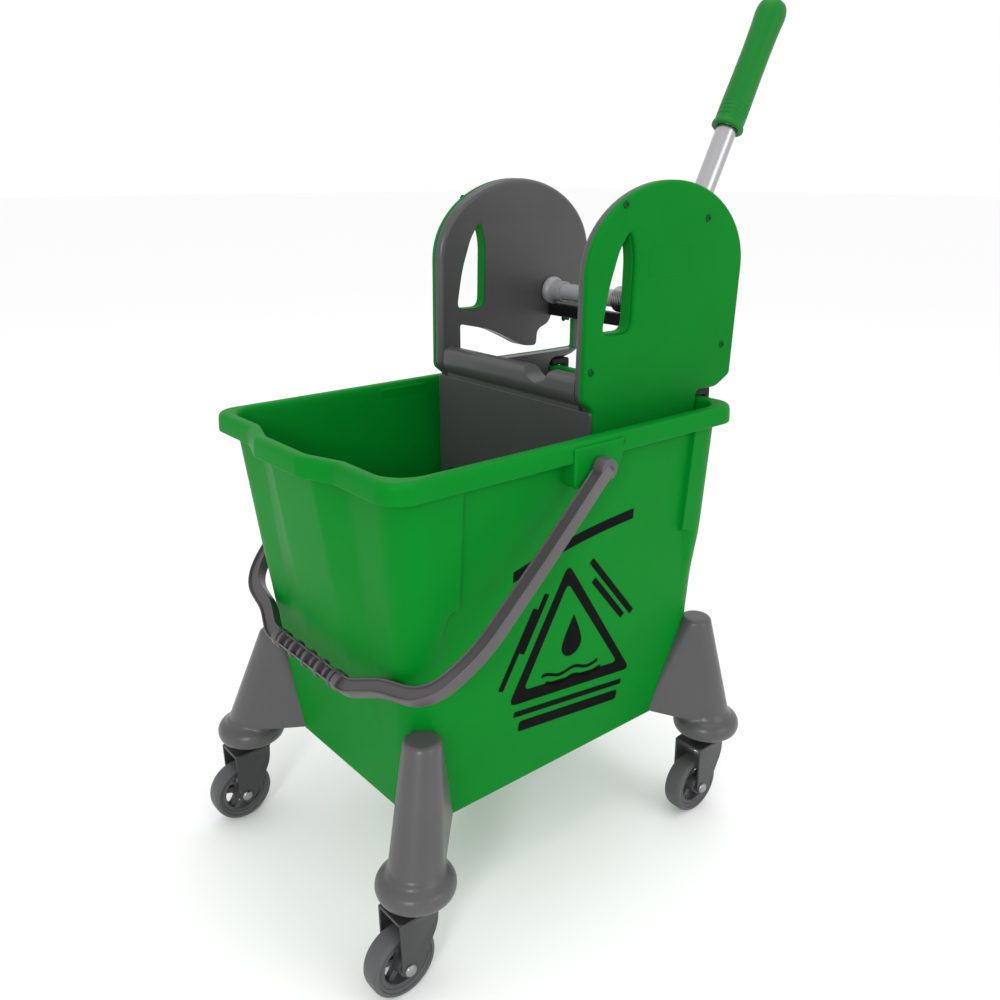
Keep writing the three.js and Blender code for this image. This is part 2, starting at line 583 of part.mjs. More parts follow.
function hangerArm(side) {
  const x = side * ARM.x;
  const outline = rounded([[SHAFT.y - 17, SHAFT.z + 2, 14], [SHAFT.y - 8, SHAFT.z + 19, 10],
    [SHAFT.y + 8, SHAFT.z + 19, 10], [SHAFT.y + 17, SHAFT.z + 2, 14], [SHAFT.y + 4, 560, 8],
    [PLATE.y1 + 14, 500, 3], [PLATE.y1 + 12, 345, 3],
    [PLATE.y1 + GAP, 345, 0], [PLATE.y1 + GAP, 540, 4], [RAIL.y - 2.5, 590, 4], [RAIL.y - 2.5, 618, 2]]);
  const plate = prismX(outline, x - ARM.half, x + ARM.half);
  return plate.subtract(rodX(SHAFT.radius, x - ARM.half - 1, x + ARM.half + 1, SHAFT.y, SHAFT.z, 28));
}

function pressPlate() {
  const { halfX, y0, y1, z0, z1 } = PLATE;
  const sheet = box(-halfX, halfX, y0, y1, z0, z1);
  const lip = box(-halfX, halfX, y0 - 8, y1, z1 - 5, z1);
  const holes = [];
  for (let row = 0; row < 3; row++) {
    for (let column = -3; column <= 3; column++) {
      const [x, z] = [column * 29, z0 + 22 + row * 50];
      holes.push(box(x - 6, x + 6, y0 - 1, y1 + 1, z, z + 36));
    }
  }
  return cut(sheet.add(lip), holes);
}

// Torsion spring round the shaft beside the lever, drawn as the sleeve that its coils fill.
function returnSpring() {
  const [x0, x1] = [4, 30 - GAP];
  const coil = rodX(16, x0, x1, SHAFT.y, SHAFT.z, 24);
  return coil.subtract(rodX(12.5, x0 - 1, x1 + 1, SHAFT.y, SHAFT.z, 24));
}

// ---------------------------------------------------------------- assembly
addPart('bucket', bucket(), COLOUR.green, 0.4);

for (const corner of CORNERS) {
  addPart(`leg_${corner.name}`, leg(corner), COLOUR.legGrey, 0.55);
  addPart(`leg_screw_${corner.name}`, legScrew(corner), COLOUR.steel, 0.3, 0.9);
  addPart(`caster_stem_${corner.name}`, stem(corner), COLOUR.black, 0.4, 0.7);
  addPart(`caster_fork_${corner.name}`, fork(corner), COLOUR.forkGrey, 0.5);
  addPart(`wheel_core_${corner.name}`, wheelCore(corner), COLOUR.forkGrey, 0.5);
  addPart(`tyre_${corner.name}`, tyre(corner), COLOUR.tyreGrey, 0.7);
  addPart(`wheel_axle_${corner.name}`, axle(corner), COLOUR.steel, 0.3, 0.9);
}

addPart('bail_handle', bail(), COLOUR.bailGrey, 0.5);

const windowSpace = prismX(leftWindow(), WRINGER.inner - 5, WRINGER.outer + 5);
const [shell, cover] = [sideShell(), sideCover()];
addPart('side_shell_right', shell, COLOUR.panelGrey, 0.55);
addPart('side_shell_left', mirrorX(shell.subtract(windowSpace)), COLOUR.panelGrey, 0.55);
addPart('side_cover_right', cover, COLOUR.cover, 0.4);
addPart('side_cover_left', mirrorX(cover.subtract(windowSpace)), COLOUR.cover, 0.4);
SCREWS.forEach((place, i) => {
  const screw = coverScrew(place);
  addPart(`cover_screw_right_${i + 1}`, screw, COLOUR.steel, 0.35, 0.9);
  addPart(`cover_screw_left_${i + 1}`, mirrorX(screw), COLOUR.steel, 0.35, 0.9);
});

addPart('front_panel', frontPanel(), COLOUR.panelGrey, 0.55);
addPart('basket_floor', basketFloor(), COLOUR.panelGrey, 0.55);
addPart('rear_hook_right', rearHook(), COLOUR.black, 0.6);
addPart('rear_hook_left', mirrorX(rearHook()), COLOUR.black, 0.6);
addPart('rear_tie', rearTie(), COLOUR.black, 0.6);

addPart('press_shaft', shaftRod(), COLOUR.steel, 0.3, 0.8);
addPart('shaft_collar_right', shaftCollar(1), COLOUR.steel, 0.45);
addPart('shaft_collar_left', shaftCollar(-1), COLOUR.steel, 0.45);
addPart('lever_hub', leverHub(), COLOUR.panelGrey, 0.5);
addPart('lever_tube', leverTube(), COLOUR.steel, 0.25, 0.9);
addPart('lever_grip', leverGrip(), COLOUR.green, 0.55);
addPart('press_rail', pressRail(), COLOUR.black, 0.6);
addPart('hanger_arm_right', hangerArm(1), COLOUR.steel, 0.35, 0.8);
addPart('hanger_arm_left', hangerArm(-1), COLOUR.steel, 0.35, 0.8);
addPart('press_plate', pressPlate(), COLOUR.panelGrey, 0.5);
addPart('return_spring', returnSpring(), COLOUR.steel, 0.3, 0.9);

// The frame's origin is on the floor, under the middle of the whole trolley.
const whole = new THREE.Box3().setFromObject(trolley);
const middle = whole.getCenter(new THREE.Vector3());
trolley.position.set(-middle.x, -middle.y, -whole.min.z);

export default trolley;
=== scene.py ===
import math

import bmesh
import bpy
from mathutils import Matrix, Vector


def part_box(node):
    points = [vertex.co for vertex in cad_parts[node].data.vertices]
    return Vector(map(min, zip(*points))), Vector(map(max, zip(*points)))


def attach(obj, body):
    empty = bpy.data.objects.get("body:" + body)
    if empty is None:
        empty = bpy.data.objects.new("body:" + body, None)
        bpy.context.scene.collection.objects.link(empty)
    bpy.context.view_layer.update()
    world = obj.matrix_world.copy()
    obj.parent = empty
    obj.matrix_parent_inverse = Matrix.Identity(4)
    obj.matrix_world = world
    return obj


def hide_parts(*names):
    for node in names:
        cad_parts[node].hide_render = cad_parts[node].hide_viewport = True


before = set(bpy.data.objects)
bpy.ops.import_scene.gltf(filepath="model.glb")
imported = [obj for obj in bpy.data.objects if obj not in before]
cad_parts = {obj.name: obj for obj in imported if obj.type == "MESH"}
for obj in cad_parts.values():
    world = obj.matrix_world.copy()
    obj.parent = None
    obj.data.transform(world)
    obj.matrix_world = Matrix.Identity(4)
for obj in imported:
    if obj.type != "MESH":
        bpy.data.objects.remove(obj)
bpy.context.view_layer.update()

# Everything below is drawn in millimetres in the bucket's frame (rim centred on X = Y = 0, floor at Z = 0)
# and moved into the row frame, in metres, when a piece is settled. The bucket's pouring lip faces -Y.
MM = 0.001
RIM = {"x": 180.7, "y": 240.0, "top": 531.0, "low": 510.6, "corner": 29.0}
SHIFT_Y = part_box("bucket")[1].y - RIM["y"] * MM
TO_ROW = Matrix.Translation((0, SHIFT_Y, 0)) @ Matrix.Scale(MM, 4)


def local_box(node):
    """A CAD node's lowest and highest corners in the drawing frame, in millimetres."""
    back = TO_ROW.inverted()
    return [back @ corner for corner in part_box(node)]


# ---- mesh tools
def new_object(name, points, faces):
    mesh = bpy.data.meshes.new(name)
    mesh.from_pydata([tuple(p) for p in points], [], faces)
    return adopt(name, mesh)


def adopt(name, mesh):
    """Cleans a mesh, turns its faces outwards and links it as an object."""
    bm = bmesh.new()
    bm.from_mesh(mesh)
    bmesh.ops.remove_doubles(bm, verts=bm.verts, dist=1e-3)
    bmesh.ops.dissolve_degenerate(bm, edges=bm.edges, dist=1e-4)
    bmesh.ops.recalc_face_normals(bm, faces=bm.faces)
    bm.to_mesh(mesh)
    bm.free()
    obj = bpy.data.objects.new(name, mesh)
    bpy.context.scene.collection.objects.link(obj)
    return obj


def loft(name, rings):
    """Skins closed rings of equal length and caps both ends."""
    count = len(rings[0])
    points = [p for ring in rings for p in ring]
    faces = []
    for i in range(len(rings) - 1):
        a, b = i * count, (i + 1) * count
        for j in range(count):
            k = (j + 1) % count
            faces.append((a + j, a + k, b + k, b + j))
    faces.append(tuple(range(count))[::-1])
    faces.append(tuple(range((len(rings) - 1) * count, len(rings) * count)))
    return new_object(name, points, faces)


AXES = {"x": lambda r, h, t: (h, r * math.cos(t), r * math.sin(t)),
        "z": lambda r, h, t: (r * math.cos(t), r * math.sin(t), h)}


def turned(name, profile, centre=(0, 0, 0), axis="x", sides=64):
    """A body of revolution; its (radius, distance along the axis) profile closes on itself or the axis."""
    place = AXES[axis]
    points, faces = [], []
    for r, h in profile:
        for i in range(sides):
            p = place(r, h, 2 * math.pi * i / sides)
            points.append([p[k] + centre[k] for k in range(3)])
    rows = len(profile)
    for row in range(rows):
        after = (row + 1) % rows
        if profile[row][0] <= 0 and profile[after][0] <= 0:
            continue
        for i in range(sides):
            j = (i + 1) % sides
            faces.append((row * sides + i, row * sides + j, after * sides + j, after * sides + i))
    return new_object(name, points, faces)


def mirrored(half):
    """A profile of (radius, distance), followed by its mirror image at the negative distances."""
    return half + [(r, -h) for r, h in half[::-1]]


def corner_arc(before, here, after, radius, steps):
    """Points that round off one corner of a line; a corner of radius 0 stays as it is."""
    back, on = before - here, after - here
    reach = min(radius, 0.49 * back.length, 0.49 * on.length)
    if reach <= 0:
        return [here]
    start, end = here + back.normalized() * reach, here + on.normalized() * reach
    return [start * (1 - t) ** 2 + here * (2 * t * (1 - t)) + end * t * t
            for t in (k / steps for k in range(steps + 1))]


def rounded(corners, steps=6):
    """Points of a closed outline whose corners (a, b, radius) are rounded off."""
    sharp = [Vector(corner[:2]) for corner in corners]
    out = []
    for i, here in enumerate(sharp):
        out += corner_arc(sharp[i - 1], here, sharp[(i + 1) % len(sharp)], corners[i][2], steps)
    return [(p.x, p.y) for p in out]


def box_outline(a0, b0, a1, b1, radius, steps=6):
    return rounded([(a0, b0, radius), (a1, b0, radius), (a1, b1, radius), (a0, b1, radius)], steps)


def open_route(corners, steps=8):
    """Points along an open line whose inner corners (a, b, radius) are rounded off."""
    sharp = [Vector(corner[:2]) for corner in corners]
    out = [sharp[0]]
    for i in range(1, len(sharp) - 1):
        out += corner_arc(sharp[i - 1], sharp[i], sharp[i + 1], corners[i][2], steps)
    return out + [sharp[-1]]


def circle(a, b, radius, sides=32):
    turns = [2 * math.pi * i / sides for i in range(sides)]
    return [(a + radius * math.cos(t), b + radius * math.sin(t)) for t in turns]


# Planes to draw a plate in: outline (y, z) with its thickness along X, (x, z) along -Y, and (x, y) along Z.
YZ_PLATE = Matrix(((0, 0, 1, 0), (1, 0, 0, 0), (0, 1, 0, 0), (0, 0, 0, 1)))
XZ_PLATE = Matrix(((1, 0, 0, 0), (0, 0, -1, 0), (0, 1, 0, 0), (0, 0, 0, 1)))
XY_PLATE = Matrix.Identity(4)


def plate(name, outlines, low, high, edge=1.0, plane=YZ_PLATE, steps=3):
    """A flat plate with rounded edges: the first outline is its border, the others are holes."""
    curve = bpy.data.curves.new(name, "CURVE")
    curve.dimensions = "2D"
    curve.fill_mode = "BOTH"
    curve.bevel_depth = edge
    curve.bevel_resolution = steps
    curve.offset = -edge
    curve.extrude = (high - low) / 2 - edge
    for outline in outlines:
        spline = curve.splines.new("POLY")
        spline.points.add(len(outline) - 1)
        for point, (a, b) in zip(spline.points, outline):
            point.co = (a, b, 0, 1)
        spline.use_cyclic_u = True
    helper = bpy.data.objects.new(name + "_outline", curve)
    bpy.context.scene.collection.objects.link(helper)
    graph = bpy.context.evaluated_depsgraph_get()
    mesh = bpy.data.meshes.new_from_object(helper.evaluated_get(graph))
    bpy.data.objects.remove(helper)
    bpy.data.curves.remove(curve)
    mesh.transform(plane @ Matrix.Translation((0, 0, (low + high) / 2)))
    return adopt(name, mesh)


def prism(outline, low, high, plane=YZ_PLATE):
    """A square-edged block of one outline, for cutting."""
    return loft("prism", [[plane @ Vector((a, b, h)) for a, b in outline] for h in (low, high)])


def applied(obj):
    """Applies an object's modifiers."""
    graph = bpy.context.evaluated_depsgraph_get()
    mesh = bpy.data.meshes.new_from_object(obj.evaluated_get(graph))
    obj.modifiers.clear()
    old = obj.data
    obj.data = mesh
    bpy.data.meshes.remove(old)
    return obj


def boolean(obj, tools):
    """Cuts the tools out of a body and removes them."""
    for tool in tools:
        step = obj.modifiers.new("boolean", "BOOLEAN")
        step.operation = "DIFFERENCE"
        step.solver = "EXACT"
        step.object = tool
    applied(obj)
    for tool in tools:
        bpy.data.objects.remove(tool)
    return obj


def merged(name, objects):
    """Joins several bodies into one object without cutting them."""
    bm = bmesh.new()
    for obj in objects:
        bm.from_mesh(obj.data)
    mesh = bpy.data.meshes.new(name)
    bm.to_mesh(mesh)
    bm.free()
    for obj in objects:
        bpy.data.objects.remove(obj)
    whole = bpy.data.objects.new(name, mesh)
    bpy.context.scene.collection.objects.link(whole)
    return whole


def moved(obj, matrix):
    obj.data.transform(matrix)
    if matrix.determinant() < 0:
        obj.data.flip_normals()
    return obj


def copied(obj, name, matrix):
    twin = bpy.data.objects.new(name, obj.data.copy())
    bpy.context.scene.collection.objects.link(twin)
    return moved(twin, matrix)


AS_DRAWN = Matrix.Identity(4)
MIRROR_X = Matrix.Scale(-1, 4, (1, 0, 0))
SIDES = (("right", AS_DRAWN), ("left", MIRROR_X))


def settle(obj, body, material, stands_for=(), angle=38):
    """Shades a finished piece, brings it into the row frame and fastens it to its CAD body."""
    mesh = obj.data
    mesh.validate()
    mesh.transform(TO_ROW)
    mesh.polygons.foreach_set("use_smooth", [True] * len(mesh.polygons))
    mesh.set_sharp_from_angle(angle=math.radians(angle))
    even = obj.modifiers.new("weighted normals", "WEIGHTED_NORMAL")
    even.keep_sharp = True
    mesh.materials.clear()
    mesh.materials.append(material)
    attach(obj, body)
    if stands_for:
        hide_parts(*stands_for)
    return obj


# ---- materials
def srgb(red, green, blue):
    """A screen colour, 0 to 255, as linear RGBA."""
    linear = [((c / 255 + 0.055) / 1.055) ** 2.4 if c > 10 else c / 255 / 12.92 for c in (red, green, blue)]
    return linear + [1.0]


def node(tree, kind, **inputs):
    made = tree.nodes.new(kind)
    for name, value in inputs.items():
        made.inputs[name.replace("_", " ")].default_value = value
    return made


def shaded(name):
    """A new material, its node tree and its shader."""
    material = bpy.data.materials.new(name)
    material.use_nodes = True
    return material, material.node_tree, material.node_tree.nodes["Principled BSDF"]


def plastic(name, colour, roughness=0.42, shine=0.16, grain=900.0, bump=0.12, mottle=0.05, edge_highlight=0.25):
    """Moulded plastic: faint mottling, a fine grain, drawn-out scuffs in the roughness, and sharp edges
    painted paler as a painted highlight.
    """
    material, tree, shader = shaded(name)
    link = tree.links.new
    shader.inputs["Specular IOR Level"].default_value = shine
    place = node(tree, "ShaderNodeTexCoord")

    clouds = node(tree, "ShaderNodeTexNoise", Scale=9.0, Detail=4.0, Roughness=0.6)
    link(place.outputs["Object"], clouds.inputs["Vector"])
    shades = node(tree, "ShaderNodeValToRGB")
    dark, light = shades.color_ramp.elements
    dark.color = [c * (1 - mottle) for c in colour[:3]] + [1]
    light.color = [min(1, c * (1 + mottle)) for c in colour[:3]] + [1]
    dark.position, light.position = 0.3, 0.7
    link(clouds.outputs["Fac"], shades.inputs["Fac"])

    # Convex edges, found by pointiness, are mixed towards a paler colour: a painted highlight along the
    # edges.
    shape = node(tree, "ShaderNodeNewGeometry")
    edges = node(tree, "ShaderNodeValToRGB")
    plain_edge, highlit_edge = edges.color_ramp.elements
    plain_edge.position, highlit_edge.position = 0.52, 0.62
    highlit_edge.color = (edge_highlight, edge_highlight, edge_highlight, 1)
    link(shape.outputs["Pointiness"], edges.inputs["Fac"])
    pale = node(tree, "ShaderNodeMix")
    pale.data_type = "RGBA"
    pale.inputs["B"].default_value = [min(1, c * 1.5 + 0.02) for c in colour[:3]] + [1]
    link(edges.outputs["Color"], pale.inputs["Factor"])
    link(shades.outputs["Color"], pale.inputs["A"])
    link(pale.outputs["Result"], shader.inputs["Base Color"])

    stretch = node(tree, "ShaderNodeMapping", Scale=(60.0, 60.0, 9.0))
    link(place.outputs["Object"], stretch.inputs["Vector"])
    scuffs = node(tree, "ShaderNodeTexNoise", Scale=2.0, Detail=6.0, Roughness=0.7)
    link(stretch.outputs["Vector"], scuffs.inputs["Vector"])
    gloss = node(tree, "ShaderNodeMapRange", To_Min=roughness - 0.06, To_Max=roughness + 0.09)
    link(scuffs.outputs["Fac"], gloss.inputs["Value"])
    link(gloss.outputs["Result"], shader.inputs["Roughness"])

    fine = node(tree, "ShaderNodeTexNoise", Scale=grain, Detail=2.0)
    link(place.outputs["Object"], fine.inputs["Vector"])
    skin = node(tree, "ShaderNodeBump", Strength=bump, Distance=0.0004)
    link(fine.outputs["Fac"], skin.inputs["Height"])
    link(skin.outputs["Normal"], shader.inputs["Normal"])
    return material


def metal(name, colour, roughness, along):
    """Drawn or plated metal with fine streaks along one axis."""
    streak = 0.35
    material, tree, shader = shaded(name)
    link = tree.links.new
    shader.inputs["Metallic"].default_value = 1.0
    shader.inputs["Base Color"].default_value = colour
    place = node(tree, "ShaderNodeTexCoord")
    scale = {"x": (12, 900, 900), "z": (900, 900, 12)}[along]
    stretch = node(tree, "ShaderNodeMapping", Scale=scale)
    link(place.outputs["Object"], stretch.inputs["Vector"])
    streaks = node(tree, "ShaderNodeTexNoise", Scale=1.0, Detail=5.0)
    link(stretch.outputs["Vector"], streaks.inputs["Vector"])
    gloss = node(tree, "ShaderNodeMapRange", To_Min=roughness * (1 - streak), To_Max=roughness * (1 + streak))
    link(streaks.outputs["Fac"], gloss.inputs["Value"])
    link(gloss.outputs["Result"], shader.inputs["Roughness"])
    skin = node(tree, "ShaderNodeBump", Strength=0.08, Distance=0.0002)
    link(streaks.outputs["Fac"], skin.inputs["Height"])
    link(skin.outputs["Normal"], shader.inputs["Normal"])
    return material


# In each plastic, the edge setting is the strength of the painted highlight on its edges.
BUCKET_GREEN = plastic("bucket_green", srgb(1, 118, 32), 0.42, 0.05, mottle=0.04, edge_highlight=0.3)
COVER_GREEN = plastic("cover_green", srgb(1, 112, 30), 0.44, 0.05, grain=1400.0, bump=0.2, edge_highlight=0.35)
PANEL_GREY = plastic("panel_grey", srgb(67, 67, 68), 0.33, 0.45, grain=1400.0, bump=0.25, edge_highlight=0.3)
LEG_GREY = plastic("leg_grey", srgb(74, 73, 74), 0.32, 0.4, edge_highlight=0.25)
BAIL_GREY = plastic("bail_grey", srgb(72, 68, 71), 0.34, 0.35, edge_highlight=0.6)
FORK_GREY = plastic("fork_grey", srgb(50, 50, 51), 0.34, 0.4, edge_highlight=0.6)
WHEEL_GREY = plastic("wheel_grey", srgb(62, 62, 64), 0.38, 0.4, edge_highlight=0.6)
TYRE_GREY = plastic("tyre_grey", srgb(77, 78, 79), 0.46, 0.3, grain=1600.0, bump=0.35, mottle=0.08, edge_highlight=0.15)
BLACK = plastic("black_plastic", srgb(16, 16, 17), 0.45, edge_highlight=0.2)
COLLAR_GREY = plastic("collar_grey", srgb(142, 142, 144), 0.32, 0.4, mottle=0.03, edge_highlight=0.1)
GRIP_GREEN = plastic("grip_green", srgb(2, 108, 30), 0.42, 0.2, grain=1500.0, bump=0.3, edge_highlight=0.1)
LABEL_BLACK = plastic("label_black", srgb(4, 6, 5), 0.55, 0.05, mottle=0.0, edge_highlight=0.0)
STEEL = metal("steel", srgb(146, 146, 148), 0.34, "x")
SHAFT_GREY = plastic("shaft_grey", srgb(148, 148, 150), 0.3, 0.5, mottle=0.03, edge_highlight=0.1)
SCREW_GREEN = plastic("screw_green", srgb(1, 70, 22), 0.5, 0.1)
ARM_METAL = metal("arm_metal", srgb(170, 170, 172), 0.38, "z")
TUBE_METAL = metal("lever_metal", srgb(176, 176, 178), 0.26, "z")


# ---- camera and studio
CAMERA = {"lens": 33.84, "sensor": 36.0, "eye": (808.35, -646.88, 783.05), "yaw": 50.0, "pitch": 19.38}
# Each area light, in metres: place, width, watts.
LIGHTS = {"key": ((1.7, -2.3, 1.5), 0.5, 26), "side": ((2.4, 0.6, 1.2), 1.4, 10),
          "top": ((0.1, 0.3, 2.6), 1.4, 12)}
LIT_POINT = Vector((0, 0, 0.45))
STUDIO_HALF = 30.0


def camera():
    data = bpy.data.cameras.new("camera")
    data.sensor_width = CAMERA["sensor"]
    data.lens = CAMERA["lens"]
    data.clip_end = 50.0
    obj = bpy.data.objects.new("camera", data)
    bpy.context.scene.collection.objects.link(obj)
    yaw, pitch = math.radians(CAMERA["yaw"]), math.radians(CAMERA["pitch"])
    look = Vector((-math.sin(yaw) * math.cos(pitch), math.cos(yaw) * math.cos(pitch), -math.sin(pitch)))
    obj.rotation_euler = look.to_track_quat("-Z", "Y").to_euler()
    obj.location = Vector(CAMERA["eye"]) * MM + Vector((0, SHIFT_Y, 0))
    bpy.context.scene.camera = obj


def area_light(name, place, width, power):
    data = bpy.data.lights.new(name, "AREA")
    data.shape = "RECTANGLE"
    data.size = data.size_y = width
    data.energy = power
    obj = bpy.data.objects.new(name, data)
    bpy.context.scene.collection.objects.link(obj)
    obj.location = place
    obj.rotation_euler = (LIT_POINT - Vector(place)).to_track_quat("-Z", "Y").to_euler()


def studio():
    world = bpy.data.worlds.new("studio")
    bpy.context.scene.world = world
    world.use_nodes = True
    background = world.node_tree.nodes["Background"]
    background.inputs["Color"].default_value = (1, 1, 1, 1)
    background.inputs["Strength"].default_value = 1.0
    for name, (place, width, power) in LIGHTS.items():
        area_light(name, place, width, power)
    bpy.context.scene.view_settings.view_transform = "Standard"
    corners = [(x * STUDIO_HALF, y * STUDIO_HALF, 0) for x, y in ((-1, -1), (1, -1), (1, 1), (-1, 1))]
    floor = new_object("studio_floor", corners, [(0, 1, 2, 3)])
    material, _, shader = shaded("studio_floor")
    shader.inputs["Base Color"].default_value = (0.97, 0.97, 0.97, 1)
    shader.inputs["Roughness"].default_value = 0.9
    floor.data.materials.append(material)


# ---- bucket
MOUTH = {"x": 167.8, "front": -227.5, "rear": 225.7, "corner": 34.0, "z": 531.0}
FOOT = {"x": 139.15, "front": -190.3, "rear": 228.1, "corner": 34.0, "z": 134.35}
WALL = 3.5
SPOUT = {"proud": 15.0, "flat": 39.0, "ramp": 89.0, "fade": 215.0}
# The corner pilasters stand before y = "front" and behind y = "rear", above "z". Beside that edge their foot
# rises within "fade" of height; from "near" to "near" + "ease" beyond it, the rise stretches to "far_fade".
PILASTER = {"proud": 6.0, "front": -156.0, "rear": 172.0, "z": 388.0, "edge": 1.6,
            "fade": 5.0, "far_fade": 130.0, "near": 5.0, "ease": 28.0}
CORNER_STEPS = 12
QUARTER = [math.pi / 2 * i / 5 for i in range(6)]
FOOT_RADIUS = 6.0
FLOOR = {"z": FOOT["z"] + 4.0, "radius": 9.0}
OUTSIDE = [150, 170, 190, 215, 235, 255, 275, 295, 315, 330, 345, 360, 372, 380]
OUTSIDE += [PILASTER["z"] - PILASTER["fade"] + i * PILASTER["fade"] / 6 for i in range(7)]
OUTSIDE += [392, 410, 440, 470, 495, 510, 521]
# The rim is an inverted channel, as (inset, z): flange underside, inside of the skirt, its lip, face and top.
RIM_ROWS = [(WALL + 1, 527.5), (WALL, 526.5), (WALL, 513.5), (WALL - 0.3, 511.6), (2.4, RIM["low"]),
            (1.0, RIM["low"]), (0.2, 511.3), (0.0, 512.8), (0.3, 519.0), (0.6, 524.5), (1.1, 527.2),
            (2.3, 529.4), (4.2, 530.6), (6.5, RIM["top"])]
MOUTH_ROWS = [(0.4, 530.9), (1.4, 530.1), (2.6, 528.8), (3.3, 527.0)]
INSIDE = [522, 510, 490, 465, 440, 410, 380, 350, 320, 290, 260, 235, 215, 195, 175, 160]
INSIDE += [FLOOR["z"] + FLOOR["radius"]]


def mix(a, b, t):
    return a + (b - a) * t


def smooth(t):
    t = min(1.0, max(0.0, t))
    return t * t * (3 - 2 * t)


def eased(t, soft=0.12):
    """A straight ramp from 0 to 1 whose two ends are rounded off."""
    t = min(1.0, max(0.0, t))
    if t > 0.5:
        return 1 - eased(1 - t, soft)
    slope = 1 / (1 - soft)
    return slope * t * t / (2 * soft) if t < soft else slope * (t - soft / 2)


def wall_plan(z, inset=0.0):
    """Half width, front, rear and corner radius of the bucket's wall at a height."""
    t = (z - FOOT["z"]) / (MOUTH["z"] - FOOT["z"])
    plan = {key: mix(FOOT[key], MOUTH[key], t) for key in ("x", "front", "rear", "corner")}
    plan["spout"] = SPOUT["proud"] * min(1.0, max(0.0, (z - SPOUT["fade"]) / (MOUTH["z"] - SPOUT["fade"])))
    return inset_plan(plan, inset)


def inset_plan(plan, inset):
    return {"x": plan["x"] - inset, "front": plan["front"] + inset, "rear": plan["rear"] - inset,
            "corner": plan["corner"] - inset, "spout": plan["spout"]}


def spans(knots, counts):
    """Stations along a side: each stretch between knots is split evenly, and the last knot is left out."""
    out = []
    for (a, b), count in zip(zip(knots, knots[1:]), counts):
        out += [mix(a, b, i / count) for i in range(count)]
    return out


def pilaster_height(y, z):
    """How proud of the wall a corner pilaster stands at a point of the side wall."""
    deep = max(PILASTER["front"] - y, y - PILASTER["rear"])
    across = smooth(1 + deep / PILASTER["edge"])
    fade = mix(PILASTER["fade"], PILASTER["far_fade"], smooth((deep - PILASTER["near"]) / PILASTER["ease"]))
    return PILASTER["proud"] * across * smooth((z - PILASTER["z"] + fade) / fade)


def bucket_ring(plan, z, raised=False):
    """One closed ring round the bucket, anticlockwise from the front left corner."""
    x, front, rear, r = plan["x"], plan["front"], plan["rear"], plan["corner"]
    flat, ramp = SPOUT["flat"], SPOUT["ramp"]

    def wide(y):
        return pilaster_height(y, z) if raised else 0.0

    def spout(across):
        return plan["spout"] * eased((ramp - abs(across)) / (ramp - flat))

    pf, pr, edge = PILASTER["front"], PILASTER["rear"], PILASTER["edge"]
    side_knots = [front + r, pf - 8, pf - 0.2, pf + edge, pr - edge, pr + 0.2, pr + 8, rear - r]
    side_counts = [5, 4, 6, 12, 6, 4, 3]
    front_knots = [r - x, -ramp, -flat, flat, ramp, x - r]
    points = [(a, front - spout(a)) for a in spans(front_knots, [3, 14, 4, 14, 3])]
    turns = [math.pi / 2 * i / CORNER_STEPS for i in range(CORNER_STEPS)]
    front_r, rear_r = r + wide(front + r), r + wide(rear - r)
    points += [(x - r + front_r * math.sin(t), front + r - r * math.cos(t)) for t in turns]
    points += [(x + wide(y), y) for y in spans(side_knots, side_counts)]
    points += [(x - r + rear_r * math.cos(t), rear - r + r * math.sin(t)) for t in turns]
    points += [(a, rear) for a in spans([x - r, r - x], [10])]
    points += [(r - x - rear_r * math.sin(t), rear - r + r * math.cos(t)) for t in turns]
    points += [(-x - wide(y), y) for y in spans(side_knots[::-1], side_counts[::-1])]
    points += [(r - x - front_r * math.cos(t), front + r - r * math.sin(t)) for t in turns]
    return [(a, b, z) for a, b in points]


def bucket():
    """The bucket as one skin, from the middle of its underside over the rim to the middle of its floor."""
    rings = [bucket_ring(wall_plan(FOOT["z"], inset), FOOT["z"]) for inset in (30.0, 20.0)]
    for turn in QUARTER:
        z = FOOT["z"] + FOOT_RADIUS * (1 - math.cos(turn))
        rings.append(bucket_ring(wall_plan(z, FOOT_RADIUS * (1 - math.sin(turn))), z))
    rings += [bucket_ring(wall_plan(z), z, raised=True) for z in OUTSIDE]
    rim = {"x": RIM["x"], "front": -RIM["y"], "rear": RIM["y"], "corner": RIM["corner"],
           "spout": SPOUT["proud"]}
    rings += [bucket_ring(inset_plan(rim, inset), z) for inset, z in RIM_ROWS]
    rings += [bucket_ring(wall_plan(MOUTH["z"], inset), z) for inset, z in MOUTH_ROWS]
    rings += [bucket_ring(wall_plan(z, WALL), z) for z in INSIDE]
    for turn in QUARTER[1:]:
        z = FLOOR["z"] + FLOOR["radius"] * (1 - math.sin(turn))
        rings.append(bucket_ring(wall_plan(z, WALL + FLOOR["radius"] * (1 - math.cos(turn))), z))
    rings.append(bucket_ring(wall_plan(FLOOR["z"], 30.0), FLOOR["z"]))
    settle(loft("bucket_body", rings), "trolley", BUCKET_GREEN, ["bucket"], angle=60)


def bail_lugs():
    outline = rounded([(-26, 484, 8), (32, 484, 9), (43, 511, 5), (46, 526, 2), (-26, 526, 3)])
    hole = circle(BAIL["y"], BAIL["z"], 5.4)
    for side, flip in SIDES:
        lug = plate("bail_lug_" + side, [outline, hole], 163, 183.5, 2.6, steps=4)
        settle(moved(lug, flip), "trolley", BUCKET_GREEN)


# ---- bail handle
BAIL = {"y": 6.0, "z": 503.0, "tilt": math.radians(41.2), "arm": 192.5, "half": 8.3, "thick": 6.8,
        "grip": 318.0, "grip_half": 62.0, "shoulder": 59.0}
